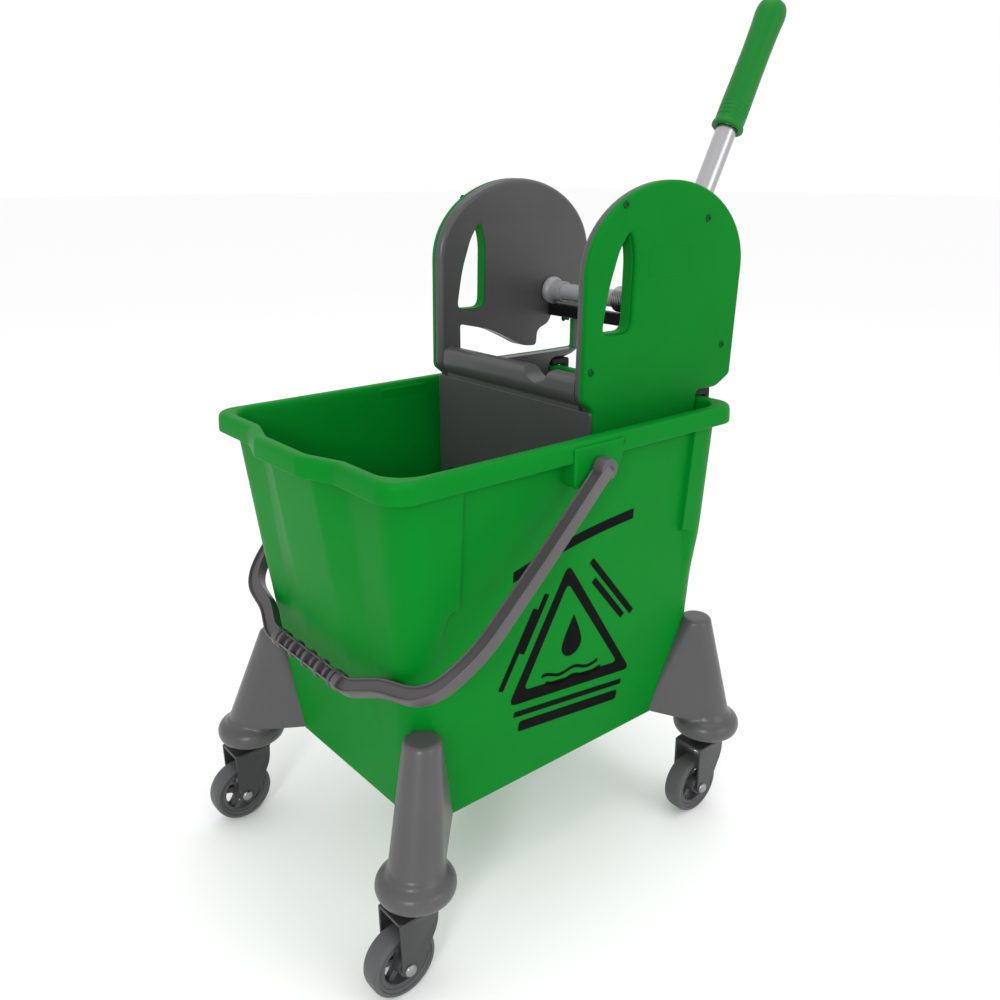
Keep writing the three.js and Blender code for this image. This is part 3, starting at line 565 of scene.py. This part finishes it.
# One arm, as (across, away from the pivot, corner radius), from the pivot to the grip.
BAIL_ROUTE = [(BAIL["arm"], 0, 0), (198, 105, 90), (201, 225, 40), (180, 285, 34), (117, 299, 12),
              (79, BAIL["grip"], 12), (60, BAIL["grip"], 0)]
OUT = Vector((0, -math.cos(BAIL["tilt"]), -math.sin(BAIL["tilt"])))
BAIL_PLANE = Matrix((
    (1, 0, 0, 0),
    (0, OUT.y, -OUT.z, BAIL["y"]),
    (0, OUT.z, OUT.y, BAIL["z"]),
    (0, 0, 0, 1)))


def swept(name, path, section, plane):
    """Carries a closed section (across, through) along an open path drawn in one plane."""
    rings = []
    for i, point in enumerate(path):
        along = (path[min(i + 1, len(path) - 1)] - path[max(i - 1, 0)]).normalized()
        across = Vector((along.y, -along.x))
        rings.append([plane @ Vector((*(point + across * a), b)) for a, b in section])
    return loft(name, rings)


def channel_section(half, thick, flange=2.4, depth=2.6):
    """An I section: two flanges joined by a thinner web, with small rounded edges."""
    quarter = [(half, thick - 0.9), (half - 0.9, thick), (half - flange + 0.6, thick),
               (half - flange, thick - 0.6), (half - flange - 0.7, thick - depth)]
    top = quarter + [(-a, b) for a, b in quarter[::-1]]
    return top + [(-a, -b) for a, b in top]


def grip_ring(i):
    """One of the grip's ribs, which are thick and thin in turn."""
    r, half_width = (10.9, 2.3) if i % 2 == 0 else (8.6, 2.0)
    profile = mirrored([(0, -half_width), (r - 1.4, -half_width), (r - 0.4, -half_width + 0.5),
                        (r, -half_width + 1.4)])
    return turned("ring", profile, ((i - 4) * 13.4, 0, 0), sides=48)


def bail_handle():
    arm = swept("arm", open_route(BAIL_ROUTE), channel_section(BAIL["half"], BAIL["thick"]), BAIL_PLANE)
    pieces = [arm, copied(arm, "arm_left", MIRROR_X)]
    grip_line = [Vector((u, BAIL["grip"])) for u in (-BAIL["grip_half"], 0, BAIL["grip_half"])]
    pieces.append(swept("core", grip_line, channel_section(7.6, 6.0, 2.2, 4.2), BAIL_PLANE))
    at_grip = BAIL_PLANE @ Matrix.Translation((0, BAIL["grip"], 0))
    flattened = Matrix.Diagonal((1, 0.94, 0.86, 1))
    pieces += [moved(grip_ring(i), at_grip @ flattened) for i in range(9)]
    for flip in (MIRROR_X, AS_DRAWN):
        boss = turned("boss", [(0, -8), (8.6, -8), (10.2, -7.4), (11, -6), (11, 6), (10.2, 7.4), (8.6, 8),
                               (4.2, 8), (3.6, 7.2), (0, 7.2)], sides=48)
        pin = turned("pin", [(0, -20), (4.2, -20), (5, -19.2), (5, 0), (0, 0)], sides=32)
        at_pivot = Matrix.Translation((BAIL["arm"], BAIL["y"], BAIL["z"]))
        pieces.append(moved(merged("end", [boss, pin]), flip @ at_pivot))
    for flip in (MIRROR_X, AS_DRAWN):
        shoulder = turned("shoulder", [(0, 0), (8, 0), (9.4, 0.6), (10, 2), (10, 7), (9.4, 8.4), (8, 9),
                                       (0, 9)], sides=40)
        at_shoulder = Matrix.Translation((BAIL["shoulder"], BAIL["grip"], 0))
        pieces.append(moved(shoulder, flip @ BAIL_PLANE @ at_shoulder))
    settle(merged("bail_frame", pieces), "bail", BAIL_GREY, ["bail_handle"], angle=50)


# ---- legs
CASTER = {"x": 179.5, "front": -227.7, "rear": 224.0, "trail": 23.0, "axle_z": 37.5, "fork_top": 97.0}
CORNERS = [(end + "_" + side, 1 if side == "right" else -1, -1 if end == "front" else 1)
           for end in ("front", "rear") for side in ("right", "left")]


def swivel(side, end):
    return side * CASTER["x"], CASTER["front"] if end < 0 else CASTER["rear"]


def wrapped(name, circles, sides=48):
    """The tight skin round several level circles, each (x, y, z, radius)."""
    bm = bmesh.new()
    for x, y, z, radius in circles:
        for a, b in circle(x, y, radius, sides):
            bm.verts.new((a, b, z))
    made = bmesh.ops.convex_hull(bm, input=bm.verts)
    inside = [v for v in made["geom_interior"] if isinstance(v, bmesh.types.BMVert)]
    bmesh.ops.delete(bm, geom=inside, context="VERTS")
    mesh = bpy.data.meshes.new(name)
    bm.to_mesh(mesh)
    bm.free()
    return adopt(name, mesh)


LEG_HEAD = {"x": 153.0, "z": 257.0, "radius": 20.0, "edge": 6.0}
COLLAR = [(0, 106.2), (29, 106.2), (34.6, 107.2), (39.2, 111), (41, 117), (40.6, 122.4), (38, 127.4),
          (33.5, 130.8), (30, 132.6), (28.6, 136), (0, 140)]


def leg(end):
    """A right-hand leg: a fin that wraps the bucket's corner and runs down into a thick rolled collar."""
    x, y = swivel(1, end)
    head_y, heel_y = (y + 31, y + 54) if end < 0 else (y - 2, y - 44)
    circles = []
    for i in range(5):
        turn = math.pi / 2 * i / 4
        circles.append((LEG_HEAD["x"], head_y, LEG_HEAD["z"] - LEG_HEAD["edge"] * (1 - math.sin(turn)),
                        LEG_HEAD["radius"] - LEG_HEAD["edge"] * (1 - math.cos(turn))))
    circles += [(x, y, 130, 28.5), (x - 54, heel_y, 140, 27)]
    body = merged("leg", [wrapped("fin", circles), turned("collar", COLLAR, (x, y, 0), "z", 64)])
    skin = body.modifiers.new("skin", "REMESH")
    skin.mode = "VOXEL"
    skin.voxel_size = 1.5
    soften = body.modifiers.new("soften", "SMOOTH")
    soften.factor = 0.5
    soften.iterations = 9
    applied(body)
    gap = 0.3
    space = loft("bucket_space", [bucket_ring(wall_plan(z, -gap), z) for z in (FOOT["z"] - gap, 330.0)])
    socket = turned("socket", [(0, 100), (5.9, 100), (5.9, 152.3), (0, 152.3)], (x, y, 0), "z", 32)
    return boolean(body, [space, socket])


def legs():
    for end, word in ((-1, "front"), (1, "rear")):
        right = leg(end)
        left = copied(right, "leg_body_%s_left" % word, MIRROR_X)
        right.name = "leg_body_%s_right" % word
        settle(right, "trolley", LEG_GREY, ["leg_%s_right" % word], angle=55)
        settle(left, "trolley", LEG_GREY, ["leg_%s_left" % word], angle=55)


def leg_screws():
    for name, _, _ in CORNERS:
        low, high = local_box("leg_screw_" + name)
        x, y, z = (low.x + high.x) / 2, (low.y + high.y) / 2, low.z
        profile = [(0, z), (7, z), (7, z + 0.8), (6.2, z + 2.6), (4.6, z + 4), (2.2, z + 4), (2.2, z + 2.2),
                   (0, z + 2.2)]
        head = turned("leg_bolt_" + name, profile, (x, y, 0), "z", 40)
        settle(head, "trolley", STEEL, ["leg_screw_" + name])


# ---- casters
def caster_stem(name, x, y):
    top, under = 152.0, 105.7
    profile = [(0, 97.4), (12.6, 97.4), (14.6, 98.2), (15.6, 100), (16.6, 103.4), (16.2, 105.2), (15, under),
               (5.5, under), (5.5, top - 1.6), (4, top), (0, top)]
    settle(turned("king_pin_" + name, profile, (x, y, 0), "z", 48), "trolley", BLACK,
           ["caster_stem_" + name])


def fork_mesh():
    """A fork drawn round its own swivel axis, trailing towards -Y."""
    top, half, front, rear = CASTER["fork_top"], 20.0, 33.0, 21.0
    axle_y, axle_z = -CASTER["trail"], CASTER["axle_z"]
    crown_outline = rounded([(-half, -front, 5), (half, -front, 5), (half, rear - 8, 7), (9, rear, 6),
                             (-9, rear, 6), (-half, rear - 8, 7)])
    crown = plate("crown", [crown_outline], top - 3.5, top, 1.0, XY_PLATE)
    raised = turned("raised", [(0, top - 4), (16.5, top - 4), (16.5, top - 1.2), (15.2, top - 0.1),
                               (0, top - 0.1)], axis="z", sides=48)
    outline = rounded([(-front, top - 1, 1), (-front + 1, axle_z - 2, 12), (axle_y + 2, axle_z - 14, 11),
                       (axle_y + 15, axle_z - 2, 11), (rear - 9, top - 22, 14), (rear - 8, top - 1, 1)])
    hole = circle(axle_y, axle_z, 4.3)
    cheeks = [plate("cheek", [outline, hole], low, low + 3, 1.0) for low in (-half, half - 3)]
    boss_profile = [(4.5, 0), (9.6, 0), (9.6, 0.5), (8.8, 1.0), (4.5, 1.0)]
    flange_outline = rounded([(-front + 1.5, top - 4, 2), (rear - 10, top - 4, 2), (rear - 14, top - 9, 4),
                              (-front + 6, top - 9, 4)])
    ribs = []
    for side in (-1, 1):
        boss = [(r, side * (half - 3.6 - h)) for r, h in boss_profile]
        ribs.append(turned("boss", boss, (0, axle_y, axle_z), sides=36))
        middle = side * (half - 5)
        ribs.append(plate("flange", [flange_outline], middle - 1.6, middle + 1.6, 1.2))
    return merged("fork", [crown, raised, *cheeks, *ribs])


def tyre_mesh():
    profile = mirrored([(28.3, -9), (29.4, -9.6), (31.2, -10.2), (31.8, -11.6), (33.4, -12), (34.4, -11.9),
                        (35.2, -11.2), (35.5, -10.0), (36.6, -9.2), (37.2, -6.8), (37.4, -3)])
    return turned("tyre", profile, sides=96)


def hub_mesh():
    """The wheel's core: a rim, a hub and five waisted spokes."""
    ring = turned("ring", mirrored([(22.6, -4), (23, -8.2), (24, -9.2), (27.2, -9.2), (28, -8.8)]), sides=80)
    middle = turned("middle", mirrored([(4.4, -14.4), (8, -14.4), (9.2, -13.8), (10.4, -10.8), (10.5, -6),
                                        (11.4, -4)]), sides=56)
    pieces = [ring, middle]
    outline = rounded([(-5.6, 8, 1), (5.6, 8, 1), (3.6, 14, 8), (4.2, 24.6, 2), (-4.2, 24.6, 2),
                       (-3.6, 14, 8)])
    spokes = 5
    for i in range(spokes):
        spoke = plate("spoke", [outline], -3.8, 3.8, 1.3)
        pieces.append(moved(spoke, Matrix.Rotation(2 * math.pi * i / spokes, 4, "X")))
    return merged("hub", pieces)


def axle_mesh():
    out = 20.3
    profile = mirrored([(0, -out - 3), (2.6, -out - 3), (4.9, -out - 2.5), (6.1, -out - 1.2),
                        (6.5, -out), (4, -out)])
    return turned("axle", profile, sides=40)


def casters():
    fork, tyre, hub, axle = fork_mesh(), tyre_mesh(), hub_mesh(), axle_mesh()
    for name, side, end in CORNERS:
        x, y = swivel(side, end)
        caster_stem(name, x, y)
        at_swivel = Matrix.Translation((x, y, 0))
        low, high = local_box("tyre_" + name)
        at_axle = Matrix.Translation((low + high) / 2)
        for pattern, piece, place, body, slot, material, stands_for in (
                (fork, "fork_body_", at_swivel, "caster_", "fork_grey", FORK_GREY, "caster_fork_"),
                (axle, "axle_pin_", at_axle, "caster_", "steel", STEEL, "wheel_axle_"),
                (tyre, "tyre_ring_", at_axle, "wheel_", "tyre_grey", TYRE_GREY, "tyre_"),
                (hub, "wheel_hub_", at_axle, "wheel_", "wheel_grey", WHEEL_GREY, "wheel_core_")):
            settle(copied(pattern, piece + name, place), body + name, material, [stands_for + name])
    for pattern in (fork, tyre, hub, axle):
        bpy.data.objects.remove(pattern)


# ---- wringer sides
SIDE = {"inner": 115.0, "seam": 126.1, "outer": 133.4, "front": 33.0, "rear": 283.0, "shoulder": 680.0,
        "top": 773.0, "arch_y": 160.0, "lower_front": 47.0, "rest": 540.0, "lower_rear": 218.5}
SHAFT = {"y": 216.5, "z": 633.0, "radius": 11.0}
SHAFT_LINE = (0, SHAFT["y"], SHAFT["z"])
HAND_SLOT = [(58, 620, 12), (103, 619, 14), (105, 700, 14), (97, 726, 10), (82, 708, 12), (67, 668, 14)]
WINDOW = [(64, 553, 4), (64, 603, 4), (112, 592, 14), (148, 575, 14), (166, 565, 10), (190, 563, 6),
          (192, 584, 8), (212, 591, 10), (218, 604, 4), (270, 606, 4), (270, 551, 4), (219, 551, 4)]
PAD = [(124, 675, 5), (194, 675, 5), (191, 709, 5), (126, 709, 5)]
SCREWS = [(85, 750), (217, 733), (42, 585), (258, 590)]
BASKET_RADIUS = 310.0
EVERYTHING = [(-50, 250), (350, 250), (350, 850), (-50, 850)]   # an outline larger than a side, for cutting


def arch():
    """The top of a side panel, from its rear to its front."""
    steps = 40
    half, rise = (SIDE["rear"] - SIDE["front"]) / 2, SIDE["top"] - SIDE["shoulder"]
    turns = [math.pi * i / steps for i in range(steps + 1)]
    return [(SIDE["arch_y"] + half * math.cos(t), SIDE["shoulder"] + rise * math.sin(t)) for t in turns]


def side_outline(bottom, corner):
    """A side panel's border, from the rear of the arch round the front and along the lower edge."""
    lower = [(SIDE["front"], 553, corner), (SIDE["lower_front"], SIDE["rest"] + 2, corner),
             (SIDE["lower_front"], bottom[0][1], corner)]
    lower += [(y, z, 0) for y, z in bottom[1:-1]]
    lower += [(SIDE["lower_rear"], bottom[-1][1], corner), (SIDE["lower_rear"], SIDE["rest"], corner),
              (255, SIDE["rest"], corner), (SIDE["rear"] - 4, 552, corner)]
    top = arch()
    return top + rounded([(*top[-1], 0), *lower, (*top[0], 0)])[1:-1]


def floor_arc(radius, y):
    return SHAFT["z"] - math.sqrt(radius ** 2 - (SHAFT["y"] - y) ** 2)


def cover_screw(name, y, z):
    """A screw head with a socket, seated on the right-hand cover."""
    x = SIDE["outer"] + 0.2
    profile = [(0, x - 9), (1.9, x - 9), (1.9, x), (4.1, x), (4.1, x + 0.5), (3.4, x + 1.3), (2.2, x + 1.6),
               (1.4, x + 1.6), (1.2, x + 0.5), (0, x + 0.5)]
    return turned(name, profile, (0, y, z), sides=32)


def side_panels():
    inner, seam, outer = SIDE["inner"], SIDE["seam"], SIDE["outer"]
    under = BASKET_RADIUS + 8
    ys = [mix(SIDE["lower_front"], SIDE["lower_rear"], i / 8) for i in range(9)]
    shell_outline = side_outline([(y, max(316.0, floor_arc(under, y))) for y in ys], 12)
    cover_outline = side_outline([(SIDE["lower_front"], 498), (SIDE["lower_rear"], 498)], 5)
    slot, window, pad = rounded(HAND_SLOT), rounded(WINDOW), rounded(PAD)
    for side, flip in SIDES:
        # Only the left side has the open window.
        windows = [window] if side == "left" else []
        # Both halves are drawn thicker than they are and cut off square where they meet.
        shell = plate("shell_body_" + side, [shell_outline], inner, inner + 15, 7.2, steps=6)
        bearing = turned("bearing", [(0, 105), (11.2, 105), (11.2, 123), (0, 123)], SHAFT_LINE, sides=48)
        shell = boolean(shell, [prism(EVERYTHING, seam - 0.2, 160), bearing,
                                *(prism(hole, 100, 140) for hole in [slot, *windows])])
        settle(moved(shell, flip), "wringer", PANEL_GREY, ["side_shell_" + side])
        cover = plate("cover_body_" + side, [cover_outline, slot], seam - 6, outer, 4.2, steps=5)
        cover = boolean(cover, [prism(EVERYTHING, 80, seam), *(prism(hole, 90, 150) for hole in windows)])
        settle(moved(cover, flip), "wringer", COVER_GREEN, ["side_cover_" + side])
        sleeve = plate("slot_liner_" + side, [slot, grown(slot, -1.7)], inner + 0.4, seam + 2, 0.5, steps=2)
        settle(moved(sleeve, flip), "wringer", COVER_GREEN)
        pad_edge = plate("cover_pad_" + side, [pad, grown(pad, -3)], outer - 0.6, outer + 0.25, 0.25, steps=2)
        settle(moved(pad_edge, flip), "wringer", COVER_GREEN)
        for i, (y, z) in enumerate(SCREWS):
            number = "%s_%d" % (side, i + 1)
            head = cover_screw("screw_body_" + number, y, z)
            settle(moved(head, flip), "wringer", SCREW_GREEN, ["cover_screw_" + number])


def grown(outline, by):
    """The outline moved outwards by a distance, or inwards when it is negative."""
    count = len(outline)
    area = sum(outline[i][0] * outline[(i + 1) % count][1] - outline[(i + 1) % count][0] * outline[i][1]
               for i in range(count))
    turn = 1 if area > 0 else -1
    out = []
    for i, (a, b) in enumerate(outline):
        along = Vector(outline[(i + 1) % count]) - Vector(outline[i - 1])
        along.normalize()
        out.append((a + turn * along.y * by, b - turn * along.x * by))
    return out


# ---- wringer basket
def slot_box(x, z, size, matrix):
    """A block with rounded upright edges, for cutting holes; size is (x, y, z)."""
    sx, sy, sz = (s / 2 for s in size)
    outline = box_outline(-sx, -sy, sx, sy, min(sx, sy) * 0.6, 4)
    block = loft("slot", [[Vector((a, b, h)) for a, b in outline] for h in (-sz, sz)])
    return moved(block, matrix @ Matrix.Translation((x, 0, z)))


def front_panel():
    half, face = SIDE["inner"] - 0.3, SIDE["lower_front"] - 0.3
    columns = (-96, -48, 0, 48, 96)
    bar_outline = rounded([(35.5, 555, 6), (43, 545, 4), (60, 546, 3), (60, 574, 8), (52, 578, 8),
                           (37, 577, 10)], 10)
    dip = rounded([(28, 582, 0), (41, 566, 6), (56, 561, 5), (68, 566, 4), (75, 582, 0)])
    bar = boolean(plate("bar", [bar_outline], -half, half, 1.2), [prism(dip, -90, -10, XZ_PLATE)])
    holes = []
    for z in (384, 400, 416):
        for x in columns:
            holes.append(box_outline(x - 19, z, x + 19, z + 7, 3.4))
    sheet_outline = rounded([(-132.8, 371, 5), (132.8, 371, 5), (132.8, 541, 3), (-132.8, 541, 3)])
    # An outline in (x, z) is laid on -Y, so low and high change sign.
    sheet = plate("sheet", [sheet_outline, *holes], -face, 4 - face, 0.8, XZ_PLATE)
    # The web starts just behind the sheet's front, so that the two never share a face.
    web_outline = rounded([(face - 3.6, 535, 1), (face + 13, 537, 2), (face + 13, 551, 2),
                           (face - 3.6, 551, 1)])
    web = plate("web", [web_outline], -half, half, 0.8)
    rib_outline = rounded([(face, 380, 1), (face + 4, 384, 2), (face + 9, 536, 1), (face, 536, 1)])
    ribs = [plate("rib", [rib_outline], x - 1.3, x + 1.3, 0.8) for x in columns]
    whole = merged("front_panel_body", [bar, sheet, web, *ribs])
    settle(whole, "wringer", PANEL_GREY, ["front_panel"])


def basket_floor():
    """The floor: an arc round the press shaft, with three rows of holes."""
    half = SIDE["inner"] - 0.3
    start = math.asin((SHAFT["y"] - SIDE["lower_rear"] + 6) / BASKET_RADIUS)
    end = math.asin((SHAFT["y"] - SIDE["lower_front"] - 1) / BASKET_RADIUS)
    turns = [mix(start, end, i / 30) for i in range(31)]

    def arc(r):
        return [(SHAFT["y"] - r * math.sin(t), SHAFT["z"] - r * math.cos(t)) for t in turns]

    body = plate("basket_floor_body", [arc(BASKET_RADIUS) + arc(BASKET_RADIUS + 4)[::-1]], -half, half, 0.9)
    at_shaft = Matrix.Translation(SHAFT_LINE)
    cuts = []
    for row in range(3):
        turn = at_shaft @ Matrix.Rotation(-mix(start, end, (row + 0.8) / 3.6), 4, "X")
        cuts += [slot_box(column * 42, -BASKET_RADIUS, (28, 24, 30), turn) for column in range(-2, 3)]
    settle(boolean(body, cuts), "wringer", PANEL_GREY, ["basket_floor"])


def rear_hooks():
    rest, behind, thick = RIM["top"] + 0.3, RIM["y"] + 3.5, 9
    outline = rounded([(220.5, rest, 1.5), (behind, rest, 2), (behind, 500, 2), (behind + thick, 500, 4),
                       (behind + thick, 539.7, 4), (220.5, 539.7, 1.5)])
    for side, flip in SIDES:
        hook = plate("hook_body_" + side, [outline], 115, 125.9, 1.6)
        settle(moved(hook, flip), "wringer", BLACK, ["rear_hook_" + side])
    tie = rounded([(behind, 502, 3), (behind + thick, 502, 4), (behind + thick, 525, 4), (behind, 525, 3)])
    settle(plate("tie_body", [tie], -114.7, 114.7, 1.6), "wringer", BLACK, ["rear_tie"])


def return_spring():
    coils, steps, wire, radius, x0, x1 = 8, 32, 1.35, 14.3, 5.6, 28.2
    rings = []
    for i in range(coils * steps + 1):
        angle = 2 * math.pi * i / steps
        out = Vector((0, math.cos(angle), math.sin(angle)))
        middle = Vector((mix(x0, x1, i / (coils * steps)), SHAFT["y"], SHAFT["z"])) + out * radius
        rings.append([middle + out * a + Vector((b, 0, 0)) for a, b in circle(0, 0, wire, 12)])
    settle(loft("spring_coil", rings), "wringer", STEEL, ["return_spring"], angle=60)


# ---- press and lever
LEVER = {"x": 72.0, "lean": math.radians(27.6), "length": 378.0, "radius": 12.25, "wall": 1.8, "grip": 219.0,
         "grip_radius": 18.0}
HUB = {"radius": 21.0, "half": 16.0}
ALONG_LEVER = (Matrix.Translation((LEVER["x"], SHAFT["y"], SHAFT["z"]))
               @ Matrix.Rotation(-LEVER["lean"], 4, "X"))
ARM_X = 35.0
PLATE = {"half": 108.0, "front": 196.0, "rear": 201.0, "low": 338.0, "high": 520.0}


def rod(radius, x0, x1, y, z):
    edge = 0.6
    profile = [(0, x0), (radius - edge, x0), (radius, x0 + edge), (radius, x1 - edge), (radius - edge, x1),
               (0, x1)]
    return turned("rod", profile, (0, y, z))


def press_shaft():
    end = SIDE["seam"] - 3.5
    shaft = rod(SHAFT["radius"] - 0.3, -end, end, SHAFT["y"], SHAFT["z"])
    shaft.name = "shaft_bar"
    settle(shaft, "press", SHAFT_GREY, ["press_shaft"])
    outer = SIDE["inner"] - 0.6
    profile = [(r, outer + h) for r, h in (
        (11, -26), (12.4, -26), (13, -25.2), (13.1, -17), (13.4, -12), (14.1, -9), (15.6, -7), (17, -6),
        (17.5, -4.8), (17.5, -0.8), (16.8, 0), (11, 0))]
    for side, flip in SIDES:
        collar = turned("collar_body_" + side, profile, SHAFT_LINE)
        settle(moved(collar, flip), "press", COLLAR_GREY, ["shaft_collar_" + side])


def lever_hub():
    half, r = HUB["half"], HUB["radius"]
    barrel = turned("barrel", mirrored([(11, -half), (r - 2, -half), (r - 0.6, -half + 0.6), (r, -half + 2)]),
                    (LEVER["x"], SHAFT["y"], SHAFT["z"]))
    socket = turned("socket", [(12.6, 18), (15.2, 18), (15.2, 50), (15.5, 51), (15.5, 60.6), (14.9, 61.7),
                               (14, 62), (12.6, 62)], axis="z")
    gusset = plate("gusset", [rounded([(-20, 4, 2), (20, 4, 2), (15.6, 40, 3), (-15.6, 40, 3)])], -3, 3, 1.0)
    tube_space = turned("tube_space", [(0, 0), (13, 0), (13, 80), (0, 80)], axis="z")
    gusset = boolean(gusset, [rod(14.5, -40, 40, 0, 0), tube_space])
    hub = merged("hub_body", [barrel, moved(socket, ALONG_LEVER), moved(gusset, ALONG_LEVER)])
    settle(hub, "press", PANEL_GREY, ["lever_hub"])


def lever_tube():
    radius, bore = LEVER["radius"], LEVER["radius"] - LEVER["wall"]
    tube = turned("tube_body", [(bore, 20.5), (radius, 20.5), (radius, 368), (bore, 368)], axis="z", sides=72)
    settle(moved(tube, ALONG_LEVER), "press", TUBE_METAL, ["lever_tube"])


def lever_grip():
    """A sleeve with a collar and four grooves at its foot, a slight waist and a domed end."""
    low, high, r = LEVER["grip"], LEVER["length"], LEVER["grip_radius"]
    profile = [(12.5, low + 1.5), (14.5, low), (r - 0.4, low), (r + 0.8, low + 1), (r + 1, low + 3),
               (r + 0.6, low + 5), (r - 0.6, low + 7)]
    for i in range(4):
        z = low + 11 + i * 5
        profile += [(r - 0.6, z), (r - 1.1, z + 0.8), (r - 1.1, z + 1.6), (r - 0.6, z + 2.4)]
    profile += [(r - 1.2, low + 60), (r - 1.4, high - 60), (r - 0.8, high - 32), (r, high - 20),
                (r - 0.2, high - 14), (r - 1.4, high - 8), (r - 3.6, high - 4), (r - 7, high - 1.6),
                (r - 11, high - 0.4), (0, high), (0, high - 9), (12.5, high - 9)]
    grip = turned("grip_body", profile, axis="z", sides=72)
    settle(moved(grip, ALONG_LEVER), "press", GRIP_GREEN, ["lever_grip"])


def press_rail():
    """A bar under the shaft, cut out for the lever's hub, the collars and the two hanger arms."""
    y, z = SHAFT["y"], SHAFT["z"]
    bar = plate("rail_body", [box_outline(210, 601, 224, 616, 3)], -114, 114, 1.2)
    spaces = [rod(21.3, LEVER["x"] - 16.6, LEVER["x"] + 16.6, y, z), rod(17.8, 86, 116, y, z),
              rod(17.8, -116, -86, y, z)]
    arm_space = [(214, 600), (226, 600), (226, 617), (214, 617)]
    spaces += [prism(arm_space, x - 4.3, x + 4.3) for x in (-ARM_X, ARM_X)]
    settle(boolean(bar, spaces), "press", BLACK, ["press_rail"])


def hanger_arms():
    """Two arms that hang from the shaft, and run down behind the press plate."""
    y, z, back = SHAFT["y"], SHAFT["z"], PLATE["rear"]
    outline = rounded([(y - 17, z + 2, 14), (y - 8, z + 19, 10), (y + 8, z + 19, 10), (y + 17, z + 2, 14),
                       (y + 4, 560, 8), (back + 14, 500, 4), (back + 12, 345, 4), (back + 0.3, 345, 1),
                       (back + 0.3, 540, 4), (214.5, 590, 4), (214.5, 618, 2)], 8)
    hole = circle(y, z, 10.9, 48)
    slot = rounded([(back + 4, 380, 2.4), (back + 9, 380, 2.4), (back + 10, 480, 2.4), (back + 4, 480, 2.4)])
    for side, x in (("right", ARM_X), ("left", -ARM_X)):
        arm = plate("arm_body_" + side, [outline, hole, slot], x - 4, x + 4, 1.1)
        settle(arm, "press", ARM_METAL, ["hanger_arm_" + side])


def press_plate():
    half, front, rear, low, high = (PLATE[key] for key in ("half", "front", "rear", "low", "high"))
    holes = []
    for row in range(3):
        z = low + 22 + row * 50
        for column in range(-3, 4):
            x = column * 29
            holes.append(box_outline(x - 6, z, x + 6, z + 36, 5))
    border = rounded([(-half, low, 6), (half, low, 6), (half, high, 4), (-half, high, 4)])
    sheet = plate("sheet", [border, *holes], -rear, -front, 1.2, XZ_PLATE)
    lip_outline = rounded([(front - 8, high - 5, 2), (rear, high - 5, 1), (rear, high, 2),
                           (front - 8, high, 2)])
    lip = plate("lip", [lip_outline], -half, half, 1.0)
    settle(merged("press_plate_body", [sheet, lip]), "press", PANEL_GREY, ["press_plate"])


# ---- printed mark
# The straight bars, as ends (y, z) and (y, z) and height.
MARK_BARS = {"left_upper": (-66, 303, -35, 365, 7.5), "left_lower": (-93, 267, -50, 352, 7.5),
             "right_upper": (28, 386, 103, 300, 7.5), "right_lower": (34, 361, 88, 299, 7.5),
             "below": (-72, 229, 98, 206.9, 7), "foot": (-64, 211, 92, 190.72, 13)}


def printed(name, outlines):
    """A thin print on the sloping right-hand wall; outlines are in (y, z)."""
    mark = plate(name, outlines, 0.0, 0.3, 0.04, steps=1)
    for vertex in mark.data.vertices:
        vertex.co.x += wall_plan(vertex.co.z)["x"] + 0.02
    settle(mark, "trolley", LABEL_BLACK, angle=80)


def bar_between(y0, z0, y1, z1, height):
    start, end = Vector((y0, z0)), Vector((y1, z1))
    up = Vector((z0 - z1, y1 - y0)).normalized() * height / 2
    r = height * 0.3
    return rounded([(*(start - up), r), (*(end - up), r), (*(end + up), r), (*(start + up), r)])


def drop_point(turn):
    """A point of the drop's outline: a half circle below, drawn up to a tip above."""
    middle_y, middle_z, radius, tip = 8, 290, 15, 36
    up = math.sin(turn)
    if up < 0:
        return middle_y + radius * math.cos(turn), middle_z + radius * up
    return middle_y + radius * math.cos(turn) * (1 - 0.72 * up ** 1.3), middle_z + tip * up


def wave_line(z, shift):
    """A wavy line that falls as slowly as the triangle's lower edge."""
    ys = range(-34 + shift, 56 + shift, 3)
    return [(y, z + 2.4 * math.sin((y + 40) / 7.0) - 0.115 * (y + 20)) for y in ys]


def printed_mark():
    outer = rounded([(-6.5, 392, 12), (-81, 243, 12), (111, 220, 12)])
    inner = rounded([(-5, 369, 9), (-60, 256, 9), (87, 238, 9)])
    printed("mark_triangle", [outer, inner])
    printed("mark_drop", [[drop_point(2 * math.pi * i / 40) for i in range(40)]])
    for i, z in enumerate((262.0, 251.0)):
        line = wave_line(z, 6 * i)
        printed("mark_wave_%d" % (i + 1), [line + [(y, b - 4.2) for y, b in line[::-1]]])
    top = [(mix(-84, 88, i / 16), 404 + 29 * i / 16 + 5 * math.sin(math.pi * i / 16)) for i in range(17)]
    printed("mark_bar_top", [top + [(y, z - 12) for y, z in top[::-1]]])
    for name, bar in MARK_BARS.items():
        printed("mark_bar_" + name, [bar_between(*bar)])


# ---- main
bpy.context.scene.frame_set(1)
camera()
studio()
bucket()
bail_lugs()
bail_handle()
legs()
leg_screws()
casters()
side_panels()
front_panel()
basket_floor()
rear_hooks()
return_spring()
press_shaft()
lever_hub()
lever_tube()
lever_grip()
press_rail()
hanger_arms()
press_plate()
printed_mark()
